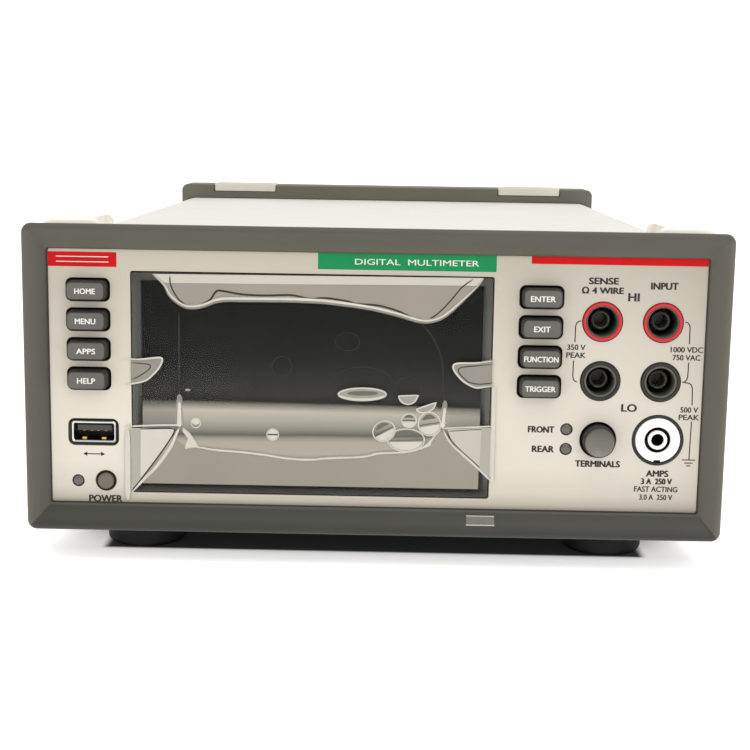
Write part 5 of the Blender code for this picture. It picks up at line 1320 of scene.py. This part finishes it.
def bubbles(y, bright, soft, light, dark):
    """Trapped air: low domes with a painted highlight rim on the lower side, painted glints and painted shade marks."""
    def dome(cx, cz, rx, rz, tilt=0.0, h=0.28):
        loops = []
        for s, d in ((1.0, 0.0), (0.97, 0.35), (0.85, 0.66), (0.62, 0.87), (0.3, 0.98)):
            loops.append(at_y(ellipse(cx, cz, rx * s, rz * s, tilt, 24), y - 0.12 - h * d))
        return loft(loops)
    highlight_rims, fills, glint_patches, shade_marks = [], [], [], []
    yr = y - 0.14
    # A: wide flat lens low in the middle of the dark area
    fills.append(dome(-4.04, 55.0, 7.6, 2.0, 1.0))
    shade_marks.append(sheet(ellipse(-3.9, 55.35, 4.9, 0.75, 1.0, 24), y - 0.42, 0.03))
    glint_patches.append(ribbon(ellipse(-4.04, 55.02, 7.0, 1.55, 1.0, 16, 190, 350), 0.5, y - 0.40, 0.05, 3))
    highlight_rims.append(ribbon(ellipse(-4.04, 55.02, 7.5, 1.95, 1.0, 20), 0.5, yr - 0.12, 0.12, 3, closed=True))
    # B, C: small half moons
    for cx, cz, rx, rz, tilt in ((10.38, 54.1, 2.9, 2.1, 3.0), (15.99, 51.08, 3.1, 1.55, 20.0)):
        half = ellipse(cx, cz + rz * 0.35, rx, rz * 1.3, tilt, 16, 180, 360)
        fills.append(sheet(half, y - 0.14, 0.1))
        highlight_rims.append(ribbon(half + [half[0]], 0.42, yr - 0.12, 0.1, 3, taper=False))
    # D..G: the cluster in the lower right
    for cx, cz, rx, rz, tilt, cut in ((10.84, 46.87, 2.3, 2.2, 0.0, 0.2), (17.3, 45.87, 3.5, 3.75, 10.0, 0.1),
                                      (3.0, 43.34, 3.6, 3.2, 28.0, 0.0), (10.01, 40.57, 5.8, 3.6, 2.0, -0.2)):
        highlight_rims.append(ribbon(ellipse(cx, cz, rx, rz, tilt, 20), 0.42, yr - 0.1, 0.12, 3, closed=True))
        low = ellipse(cx, cz, rx * 0.92, rz * 0.92, tilt, 18, 190, 350)
        glint_patches.append(sheet(low, y - 0.16, 0.06))
        up = ellipse(cx, cz + rz * 0.1, rx * 0.7, rz * 0.72, tilt, 14, 25, 155)
        shade_marks.append(sheet(up, y - 0.16, 0.05))
        shade_marks.append(ribbon([ellipse(cx, cz, rx * 0.95, rz, tilt, 2, 180, 181)[0], (cx, cz + cut * 0.5),
                             ellipse(cx, cz, rx * 0.95, rz, tilt, 2, 0, 1)[0]], 0.3, yr - 0.1, 0.06, 4))
    # small round ones
    for cx, cz, r in ((-56.6, 44.8, 1.5), (-32.19, 41.55, 1.85)):
        highlight_rims.append(ribbon(ellipse(cx, cz, r, r, n=16), 0.32, yr - 0.06, 0.08, 2, closed=True))
    fills.append(sheet(ellipse(-59.07, 55.4, 0.9, 0.38, n=14), y - 0.16, 0.05))
    glint_patches.append(sheet(ellipse(-56.6, 45.2, 1.2, 0.95, n=14), y - 0.16, 0.05))
    for a0 in (10, 190):
        glint_patches.append(sheet(ellipse(-32.19, 41.55, 1.6, 1.65, 0, 12, a0, a0 + 160), y - 0.16, 0.05))
    finish("film_bubble_lenses", join(fills), soft, smooth=60)
    finish("film_bubble_rims", join(highlight_rims), bright, smooth=60)
    finish("film_bubble_glints", join(glint_patches), light, smooth=0)
    finish("film_bubble_shades", join(shade_marks), film_material("film_bubble_painted_shade", (112, 110, 102), 0.85), smooth=0)


def tape_scrap():
    """A small clear sticker left on the front bumper's lower face."""
    t = film_material("tape_clear", (150, 148, 138), 0.55, rough=0.15, spec=0.4, patch=200.0)
    # painted highlight along the tape's upper and lower edges
    e = film_material("tape_edge", (206, 203, 192), 0.9, rough=0.2, spec=0.4, patch=200.0)
    y0, y1 = FRONT + 0.9, FRONT + 3.3

    def face(x, z):
        f = (z - 12.4) / (17.65 - 12.4)
        return FRONT + 0.1 + 3.5 * f - 0.08
    rows = []
    for x in (29.6, 34.0, 38.4):
        rows.append([(x, face(x, z), z) for z in (14.2, 15.4, 16.6)])
    bm = bmesh.new()
    front = [[bm.verts.new(p) for p in r] for r in rows]
    backv = [[bm.verts.new((p[0], p[1] + 0.05, p[2])) for p in r] for r in rows]
    for i in range(2):
        for j in range(2):
            bm.faces.new((front[i][j], front[i + 1][j], front[i + 1][j + 1], front[i][j + 1]))
            bm.faces.new((backv[i][j], backv[i][j + 1], backv[i + 1][j + 1], backv[i + 1][j]))
    rim = [front[0][0], front[1][0], front[2][0], front[2][1], front[2][2], front[1][2], front[0][2], front[0][1]]
    rimb = [backv[0][0], backv[1][0], backv[2][0], backv[2][1], backv[2][2], backv[1][2], backv[0][2], backv[0][1]]
    for i in range(8):
        j = (i + 1) % 8
        bm.faces.new((rim[i], rimb[i], rimb[j], rim[j]))
    finish("tape_scrap", bm, t, smooth=0)
    edges = []
    for z in (14.15, 16.65):
        yy = face(0, z) - 0.05
        edges.append(block(29.5, 38.5, yy, yy + 0.06, z - 0.18, z + 0.18))
    finish("tape_scrap_edges", join(edges), e, smooth=0)


# ------------------------------------------------------------------ rear
REAR_JACKS = [("sense_hi", 67.5, 79.0, 1), ("input_hi", 86.5, 79.0, 1), ("sense_lo", 67.5, 60.0, 0),
              ("input_lo", 86.5, 60.0, 0), ("amps", 77.0, 39.5, 2)]


def rear_panel():
    lo, hi = where("rear_panel")
    y0, y1 = lo.y, hi.y
    zc = (lo.z + hi.z) / 2
    a, b = y0 - 3, y1 + 3
    g = GAP
    bm = prism(rounded(106.2, (hi.z - lo.z) / 2, 1.2, 4, 0, zc), y0, y1)
    cuts = [block(77.0 - 19.0 - g, 77.0 + 19.0 + g, a, b, 30.2, 88.8),
            block(-90.3, -61.7, a, b, 22.2, 57.8),
            block(-4.3, 12.3, a, b, 22.9, 37.1),
            block(-32.3, -19.7, a, b, 24.2, 35.8),
            block(-57.0, 39.0, a, b, 69.0, 89.0),
            block(-38.0, 38.0, a, b, 48.5, 57.5),
            prism(circle(2.0, 24, -46.0, 26.0), a, b)]
    for x, z in ((26.0, 30.0), (43.0, 30.0)):
        cuts.append(prism(circle(4.9, 32, x, z), a, b))
    for k in range(6):
        cuts.append(prism(rounded(16.0, 1.2, 1.15, 6, -84.0, 67.0 + k * 5.0), a, b))
    bm = boolean(bm, [join(cuts)])
    finish("rear_panel_sheet", bm, PAINT, stands_for=("rear_panel",), smooth=30)
    finish("rear_vent_lining", prism(rounded(18.0, 16.5, 1.0, 3, -84.0, 79.5), y0 - 1.2, y0 - 0.4), BLACK,
           smooth=0)
    for i, (x, z) in enumerate(((-101.0, 62.0), (-50.0, 96.3), (50.0, 96.3), (101.0, 94.0), (101.0, 22.0), (-101.0, 22.0),
                                (-8.0, 19.6))):
        screw_y("rear_screw_%d" % (i + 1), x, z, y1, 2.5, 1, 0.3 + 0.37 * i)
    # cover plates with captive thumb screws
    for tag, (x0, x1, z0, z1) in (("card", (-62.0, 44.0, 66.0, 92.0)), ("interface", (-44.0, 44.0, 46.0, 60.0))):
        hx, hz, cx, cz = (x1 - x0) / 2, (z1 - z0) / 2, (x0 + x1) / 2, (z0 + z1) / 2
        p = loft([at_y(rounded(hx, hz, 1.5, 6, cx, cz), y1 + 0.3), at_y(rounded(hx, hz, 1.5, 6, cx, cz), y1 + 1.25),
                  at_y(rounded(hx - 0.25, hz - 0.25, 1.3, 6, cx, cz), y1 + 1.5)])
        finish(tag + "_cover_plate", p, metal("cover_plate_" + tag, (196, 195, 190), 0.34, (1.0, 1.0, 8.0)),
               stands_for=("card_slot_cover" if tag == "card" else "interface_slot_cover",), smooth=30)
        for s, sd in ((-1, "left"), (1, "right")):
            kx = cx + s * (hx - 4.5)
            prof = [(0, y1 + 5.4), (2.2, y1 + 5.4), (2.7, y1 + 5.1), (2.9, y1 + 4.6), (2.9, y1 + 2.2), (2.4, y1 + 1.9),
                    (2.4, y1 + 1.5), (0, y1 + 1.5)]
            knob = turned(prof, kx, cz, 40)
            slotcut = block(kx - 2.2, kx + 2.2, y1 + 4.7, y1 + 7, cz - 0.35, cz + 0.35)
            finish("%s_thumbscrew_%s" % (tag, sd), boolean(knob, [slotcut]), NICKEL, smooth=32)


def rear_terminals():
    lo, hi = where("rear_terminal_block")
    y1 = REAR
    zc, hz = 59.5, 29.0
    bm = loft([at_y(rounded(21.5, hz + 2.5, 3.0, 8, 77.0, zc), y1 + GAP),
               at_y(rounded(21.5, hz + 2.5, 3.0, 8, 77.0, zc), y1 + 1.9),
               at_y(rounded(21.3, hz + 2.3, 2.9, 8, 77.0, zc), y1 + 2.25),
               at_y(rounded(20.9, hz + 1.9, 2.6, 8, 77.0, zc), y1 + 2.4)])
    holes = [prism(circle(6.1, 48, x, z), y1 - 3, y1 + 6) for _, x, z, _ in REAR_JACKS]
    bm = boolean(bm, [join(holes)])
    finish("rear_terminal_plate", bm, REAR_BLACK, stands_for=("rear_terminal_block",), smooth=32)
    for k, x, z, kind in REAR_JACKS:
        tint = (JACK_BLACK, JACK_RED, WHITE)[kind]
        collar = [(4.5, y1 + 4.4), (4.7, y1 + 4.8), (5.1, y1 + 5.0), (5.7, y1 + 5.0), (6.0, y1 + 4.8), (6.05, y1 + 4.4),
                  (6.05, y1 + 0.3), (4.5, y1 + 0.3)]
        finish("rear_collar_" + k, turned(collar, x, z, 56, closed=True), tint,
               smooth=36)
        well = [(4.5, y1 + 0.2), (6.0, y1 + 0.2), (6.0, y1 - 13.0), (2.5, y1 - 13.0), (2.5, y1 - 3.0), (3.1, y1 - 3.0),
                (3.25, y1 - 3.3), (3.25, y1 - 11.0), (4.5, y1 - 11.0)]
        finish("rear_well_" + k, turned(well, x, z, 56, closed=True), JACK_BLACK, smooth=36)
        tube = [(2.0, y1 - 3.2), (2.15, y1 - 2.95), (2.4, y1 - 3.1), (2.4, y1 - 13.5), (2.0, y1 - 13.5)]
        finish("rear_sleeve_" + k, turned(tube, x, z, 40, closed=True), BRASS, smooth=36)
        back = turned([(0, y1 - 13.6), (2.45, y1 - 13.6), (2.45, y1 - 14.4), (0, y1 - 14.4)], x, z, 24)
        finish("rear_stop_" + k, back, BLACK, smooth=36)


def inlet():
    lo, hi = where("mains_inlet")
    y1 = REAR
    hz, zc = 17.5, 40.0
    bm = loft([at_y(rounded(14.0, hz, 1.0, 4, -76.0, zc), y1 - 38.0), at_y(rounded(14.0, hz, 1.0, 4, -76.0, zc), y1 + 0.3),
               at_y(rounded(24.5, hz + 2.2, 5.0, 4, -76.0, zc), y1 + 0.3), at_y(rounded(24.5, hz + 2.2, 5.0, 4, -76.0, zc), y1 + 2.4),
               at_y(rounded(24.3, hz + 2.0, 4.9, 4, -76.0, zc), y1 + 2.75), at_y(rounded(24.0, hz + 1.7, 4.6, 4, -76.0, zc), y1 + 2.9)])
    recess = prism([(-76.0 + px, 46.5 + pz) for px, pz in
                    ((-12.3, -5.0), (-9.0, -8.3), (9.0, -8.3), (12.3, -5.0), (12.3, 8.3), (-12.3, 8.3))], y1 - 13.5, y1 + 6)
    inner = prism([(-76.0 + px, 46.5 + pz) for px, pz in
                   ((-10.4, -4.6), (-8.3, -6.7), (8.3, -6.7), (10.4, -4.6), (10.4, 6.7), (-10.4, 6.7))], y1 - 13.5, y1 - 1.0)
    pocket = block(-87.3, -64.7, y1 - 36.0, y1 + 6, 23.7, 34.3)
    ears = [prism(circle(2.6, 28, -76.0 + s * 20.0, zc), y1 + 1.1, y1 + 6) for s in (-1, 1)]
    inner.free()
    bm = boolean(bm, [join([recess, pocket] + ears)])
    finish("mains_inlet_body", bm, REAR_BLACK, stands_for=("mains_inlet",), smooth=30, bevel=0.18)
    pins = []
    for px, pz, w, h in ((-7.0, -1.2, 0.95, 2.0), (7.0, -1.2, 0.95, 2.0), (0.0, 2.6, 0.95, 2.0)):
        c = (-76.0 + px, 46.5 + pz)
        pins.append(loft([at_y(rounded(w, h, 0.2, 2, *c), y1 - 13.4), at_y(rounded(w, h, 0.2, 2, *c), y1 - 2.4),
                          at_y(rounded(w - 0.4, h - 0.5, 0.2, 2, *c), y1 - 1.4)]))
    finish("mains_inlet_pins", join(pins), NICKEL, smooth=30)
    for s, sd in ((-1, "left"), (1, "right")):
        screw_y("inlet_screw_" + sd, -76.0 + s * 20.0, zc, y1 + 1.15, 2.4, 1, 0.6 * s + 0.9)
    for o in (NODES["mains_fuse_drawer"],):
        o.data.materials.clear()
        o.data.materials.append(REAR_BLACK)
        m = o.modifiers.new("edge_break", "BEVEL")
        m.width, m.segments, m.limit_method, m.angle_limit = 0.25 * MM, 2, "ANGLE", radians(40)
    # finger lip across the drawer's face
    lip = loft([at_y(rounded(4.2, 0.9, 0.5, 4, -76.0, 32.0), y1 + 4.15), at_y(rounded(4.2, 0.9, 0.5, 4, -76.0, 32.0), y1 + 5.6),
                at_y(rounded(3.8, 0.6, 0.4, 4, -76.0, 32.0), y1 + 6.0)])
    finish("fuse_drawer_lip", lip, REAR_BLACK, body="mains_fuse_drawer", smooth=32)


def rear_ports():
    y1 = REAR
    # network socket: shield, insert, eight contacts, two lamps
    x, z = 4.0, 30.0
    hole = [(x + px, z + pz) for px, pz in ((-5.9, -4.2), (-3.2, -4.2), (-3.2, -5.6), (3.2, -5.6), (3.2, -4.2),
                                            (5.9, -4.2), (5.9, 4.2), (-5.9, 4.2))]
    shell = boolean(prism(rounded(8.0, 6.8, 0.6, 4, x, z), y1 - 13.0, y1 + 1.2), [prism(hole, y1 - 11.5, y1 + 4)])
    finish("lan_shield", shell, NICKEL, stands_for=("lan_port",), smooth=30, bevel=0.12)
    finish("lan_insert", prism([(x + px * 0.985, z + pz * 0.985 if abs(pz) < 5 else z + pz * 0.97) for px, pz in
                                ((-5.9, -4.2), (-3.2, -4.2), (-3.2, -5.6), (3.2, -5.6), (3.2, -4.2), (5.9, -4.2), (5.9, 4.2),
                                 (-5.9, 4.2))], y1 - 11.4, y1 - 9.0), BLACK, smooth=0)
    pins = []
    for i in range(8):
        px = x - 3.57 + 1.02 * i
        pins.append(loft([[(px + dx, yy, zz + dz) for dx, dz in rounded(0.2, 0.2, 0.08, 1)]
                          for yy, zz in ((y1 - 8.9, z + 1.6), (y1 - 5.0, z + 2.4), (y1 - 1.2, z + 3.7))]))
    finish("lan_contacts", join(pins), GOLD, smooth=30)
    for s, sd, col in ((-1, "left", (92, 150, 70)), (1, "right", (196, 150, 40))):
        lamp = loft([at_y(rounded(1.1, 0.7, 0.2, 3, x + s * 6.4, z + 5.5), y1 + 1.1), at_y(rounded(1.1, 0.7, 0.2, 3, x + s * 6.4, z + 5.5), y1 + 1.45),
                     at_y(rounded(0.9, 0.5, 0.2, 3, x + s * 6.4, z + 5.5), y1 + 1.6)])
        finish("lan_lamp_" + sd, lamp, surface("lamp_" + sd, col, 0.25, vary=0.08, patch=300.0, grain=0.05, coat=0.4),
               smooth=32)
    # square serial port
    x, z = -26.0, 30.0
    hole = prism([(x + px, z + pz) for px, pz in ((-4.3, -4.0), (4.3, -4.0), (4.3, 2.3), (2.7, 4.0), (-2.7, 4.0), (-4.3, 2.3))],
                 y1 - 10.0, y1 + 4)
    shell = boolean(prism(rounded(6.0, 5.5, 0.6, 4, x, z), y1 - 13.0, y1 + 1.0), [hole])
    finish("usb_b_shield", shell, NICKEL, stands_for=("usb_b_port",), smooth=30, bevel=0.12)
    finish("usb_b_core", loft([at_y(rounded(2.8, 1.55, 0.3, 3, x, z), y1 - 10.0), at_y(rounded(2.8, 1.55, 0.3, 3, x, z), y1 - 1.0),
                               at_y(rounded(2.6, 1.35, 0.25, 3, x, z), y1 - 0.7)]), BLACK, smooth=30)
    # coaxial connectors with bayonet lugs and a nut
    for tag, bx in (("trigger", 26.0), ("complete", 43.0)):
        bz = 30.0
        prof = [(4.0, y1 + 2.0), (4.0, y1 + 12.7), (4.15, y1 + 13.0), (4.6, y1 + 13.0), (4.8, y1 + 12.8), (4.8, y1 + 2.8),
                (4.6, y1 + 2.6), (4.6, y1 - 9.0), (1.2, y1 - 9.0), (1.2, y1 + 2.0)]
        barrel = turned(prof, bx, bz, 48, closed=True)
        lugs = [prism(circle(0.75, 16, 0, 0), -1, 1) for _ in range(2)]
        for s, lug in zip((-1, 1), lugs):
            for v in lug.verts:
                px, py, pz = v.co
                v.co = Vector((bx + s * (5.0 + (py * 0.55)), y1 + 9.5 + px, bz + pz))
        finish("bnc_barrel_" + tag, barrel, NICKEL, stands_for=("bnc_" + tag,), smooth=36)
        finish("bnc_lugs_" + tag, join(lugs), NICKEL, smooth=36)
        hexa = [(7.0 * cos(radians(60 * i + 15)), 7.0 * sin(radians(60 * i + 15))) for i in range(6)]
        nut = loft([at_y([(bx + px, bz + pz) for px, pz in hexa], y1 + 0.35), at_y([(bx + px, bz + pz) for px, pz in hexa], y1 + 2.2),
                    at_y([(bx + px * 0.93, bz + pz * 0.93) for px, pz in hexa], y1 + 2.55)])
        nut = boolean(nut, [prism(circle(4.85, 40, bx, bz), y1 - 1, y1 + 4)])
        finish("bnc_nut_" + tag, nut, SCREW, smooth=30)
        core = turned([(0.55, y1 + 8.0), (0.9, y1 + 7.7), (0.9, y1 - 8.0), (0.55, y1 - 8.0)], bx, bz, 24, closed=True)
        finish("bnc_pin_" + tag, core, GOLD, smooth=36)
        die = turned([(1.0, y1 + 6.4), (2.1, y1 + 6.4), (2.2, y1 + 6.1), (2.2, y1 + 2.2), (1.0, y1 + 2.2)], bx, bz, 32, closed=True)
        finish("bnc_insulator_" + tag, die, WHITE, smooth=36)
    # protective earth screw with two washers
    gx, gz = -46.0, 26.0
    screw_y("ground_screw_head", gx, gz, y1 + 2.1, 3.0, 1, 0.5, BRASS)
    washer = turned([(1.8, y1 + 0.35), (4.4, y1 + 0.35), (4.5, y1 + 0.7), (4.4, y1 + 1.05), (3.4, y1 + 1.15), (3.4, y1 + 1.9),
                     (1.8, y1 + 1.9)], gx, gz, 40, closed=True)
    finish("ground_washers", washer, NICKEL, stands_for=("ground_screw",), smooth=34)


def rear_print():
    """Plain function labels on the rear panel, read from behind."""
    y = REAR + 0.005
    dark = []
    for text, cx, cz, w, h in (("LAN", 4.0, 40.0, 5.6, 2.0), ("USB", -26.0, 40.0, 5.6, 2.0),
                               ("IN", 26.0, 40.6, 3.2, 2.0), ("OUT", 43.0, 40.6, 5.6, 2.0),
                               ("LINE", -76.0, 62.6, 7.0, 2.1)):
        dark.append(words(text, cx, cz, w, h, y, 0.02, 0.012, flip=True))
    finish("rear_print_dark", join(dark), INK_DARK, smooth=0)
    yb = REAR + 2.405
    white = []
    for text, cx, cz, w, h in (("SENSE", 67.5, 88.7, 7.4, 1.7), ("INPUT", 86.5, 88.7, 7.0, 1.7),
                               ("HI", 77.0, 79.0, 2.4, 1.9), ("LO", 77.0, 60.0, 3.2, 1.9), ("AMPS", 77.0, 48.9, 6.4, 1.7)):
        white.append(words(text, cx, cz, w, h, yb, 0.02, 0.012, flip=True))
    finish("rear_print_white", join(white), INK_WHITE, smooth=0)


def underside():
    """Screws on the base."""
    for i, (x, y) in enumerate(((-98.0, -120.0), (98.0, -120.0), (-98.0, 120.0), (98.0, 120.0))):
        def ring(rr, z):
            return [(x + rr * cos(2 * pi * k / 24), y + rr * sin(2 * pi * k / 24), z) for k in range(24)]
        bm = loft([ring(2.8, 12.2), ring(2.8, 11.5), ring(2.4, 11.1), ring(1.2, 10.95)])
        finish("base_screw_%d" % (i + 1), bm, SCREW, smooth=30)


# ------------------------------------------------------------------ what is kept from the CAD
def dress_cad_nodes():
    board = surface("solder_mask", (28, 92, 58), 0.4, vary=0.12, patch=160.0, grain=0.2, grain_size=0.6, coat=0.3)
    choices = {
        "base_tray": TRAY, "lcd_module": BLACK, "front_board": board, "main_board": board,
        "mains_transformer": surface("laminations", (120, 118, 116), 0.5, metal=1.0, vary=0.1, patch=60.0,
                                     grain=0.3, stretch=(1.0, 1.0, 14.0)),
        "shield_can": metal("shield_tin", (206, 205, 200), 0.3), "terminals_push_rod": BUTTON,
        "amps_fuse": surface("fuse_glass", (210, 216, 214), 0.12, vary=0.06, patch=200.0, grain=0.05, alpha=0.6),
        "mains_fuse": surface("fuse_glass", (210, 216, 214), 0.12, vary=0.06, patch=200.0, grain=0.05, alpha=0.6),
    }
    for name, o in NODES.items():
        if o.hide_render:
            continue
        m = choices.get(name)
        if m is not None:
            o.data.materials.clear()
            o.data.materials.append(m)


# ------------------------------------------------------------------ stage
def stage():
    n = Nodes("floor_paper_painted_shadow")
    # pale paper with a painted shadow: dark under the instrument between its feet, a softer grey painted shadow round
    # that, and the paper's glow held back in the same places
    s = n.t.nodes.new("ShaderNodeSeparateXYZ")
    n.link(n.coord, s.inputs[0])

    def step(src, a, b, lo=0.0, hi=1.0):
        m = n.t.nodes.new("ShaderNodeMapRange")
        m.interpolation_type = "SMOOTHSTEP"
        m.inputs["From Min"].default_value = a * MM
        m.inputs["From Max"].default_value = b * MM
        m.inputs["To Min"].default_value = lo
        m.inputs["To Max"].default_value = hi
        n.link(src, m.inputs["Value"])
        return m.outputs["Result"]
    ax = n.maths("ABSOLUTE", s.outputs["X"], 0.0)
    core = n.maths("MULTIPLY", n.maths("MULTIPLY", step(ax, 90.5, 87.0), step(s.outputs["Y"], -167.6, -164.6)),
                   step(s.outputs["Y"], 170.0, 120.0))
    wide = n.maths("MULTIPLY", n.maths("MULTIPLY", step(ax, 112.0, 88.0), step(s.outputs["Y"], -166.0, -140.0)),
                   step(s.outputs["Y"], 190.0, 120.0))
    paper = n.ramp(n.noise(9.0, 3.0, 0.5), [(0.3, rgb(250, 249, 246, 1.0)), (0.7, rgb(252, 251, 249, 1.0))])
    col = n.mix(wide, paper, rgb(200, 198, 190, 1.0))
    col = n.mix(core, col, rgb(86, 88, 87, 1.0))
    n.link(col, n.p.inputs["Base Color"])
    lift = n.mix(wide, (1.0, 0.995, 0.985, 1.0), (0.45, 0.44, 0.42, 1.0))
    lift = n.mix(core, lift, (0.008, 0.009, 0.009, 1.0))
    n.link(lift, n.p.inputs["Emission Color"])
    n.p.inputs["Emission Strength"].default_value = 0.5
    n.link(n.spread(n.noise(300.0), 0.75, 0.85), n.p.inputs["Roughness"])
    n.p.inputs["Specular IOR Level"].default_value = 0.05
    bm = bmesh.new()
    v = [bm.verts.new(p) for p in ((-6, -6, 0), (6, -6, 0), (6, 6, 0), (-6, 6, 0))]
    bm.faces.new(v)
    me = bpy.data.meshes.new("floor")
    bm.to_mesh(me)
    bm.free()
    floor = bpy.data.objects.new("floor", me)
    me.materials.append(n.mat)
    bpy.context.scene.collection.objects.link(floor)

    world = bpy.data.worlds.new("studio")
    bpy.context.scene.world = world
    world.use_nodes = True
    t = world.node_tree
    bg = t.nodes["Background"]
    bg.inputs["Color"].default_value = (1.0, 0.995, 0.985, 1.0)
    bg.inputs["Strength"].default_value = 1.03

    def area(name, loc, target, size, power, colour=(1, 1, 1)):
        li = bpy.data.lights.new(name, "AREA")
        li.shape = "RECTANGLE"
        li.size, li.size_y = size
        li.energy = power
        li.color = colour
        ob = bpy.data.objects.new(name, li)
        ob.location = loc
        ob.rotation_mode = "QUATERNION"
        ob.rotation_quaternion = (Vector(target) - Vector(loc)).to_track_quat("-Z", "Y")
        bpy.context.scene.collection.objects.link(ob)
    area("key_overhead", (0.15, -0.35, 1.25), (0, -0.1, 0.05), (1.1, 0.8), 4.0, (1.0, 0.98, 0.95))
    area("front_softbox", (0.45, -1.25, 0.85), (0.02, -0.15, 0.05), (0.35, 0.25), 2.2, (1.0, 0.99, 0.97))

    cam = bpy.data.cameras.new("camera")
    cam.sensor_width = 36.0
    cam.lens = 70.35
    cam.clip_start, cam.clip_end = 0.01, 50.0
    ob = bpy.data.objects.new("camera", cam)
    rx, ry, rz = -0.164917, 0.013757, -0.015745
    c, sn = cos(rx), sin(rx)
    rp = Matrix(((1, 0, 0), (0, c, -sn), (0, sn, c)))
    c, sn = cos(ry), sin(ry)
    ryaw = Matrix(((c, -sn, 0), (sn, c, 0), (0, 0, 1)))
    c, sn = cos(rz), sin(rz)
    rr = Matrix(((c, 0, sn), (0, 1, 0), (-sn, 0, c)))
    r = ryaw @ rp @ rr
    right, fwd, up = r.col[0], r.col[1], r.col[2]
    m = Matrix(((right[0], up[0], -fwd[0]), (right[1], up[1], -fwd[1]), (right[2], up[2], -fwd[2])))
    ob.matrix_world = Matrix.Translation((0.006129, -0.632621, 0.136828)) @ m.to_4x4()
    bpy.context.scene.collection.objects.link(ob)
    bpy.context.scene.camera = ob
    bpy.context.scene.view_settings.view_transform = "Standard"
    bpy.context.scene.view_settings.look = "None"
    bpy.context.scene.view_settings.exposure = 0.0
    bpy.context.scene.view_settings.gamma = 1.0


front_bumper()
rear_bumper()
corner_lugs()
case_cover()
feet()
front_panel()
panel_print()
keys()
jacks()
amps()
buttons()
usb_front()
display()
film()
tape_scrap()
rear_panel()
rear_terminals()
inlet()
rear_ports()
rear_print()
underside()
dress_cad_nodes()
stage()
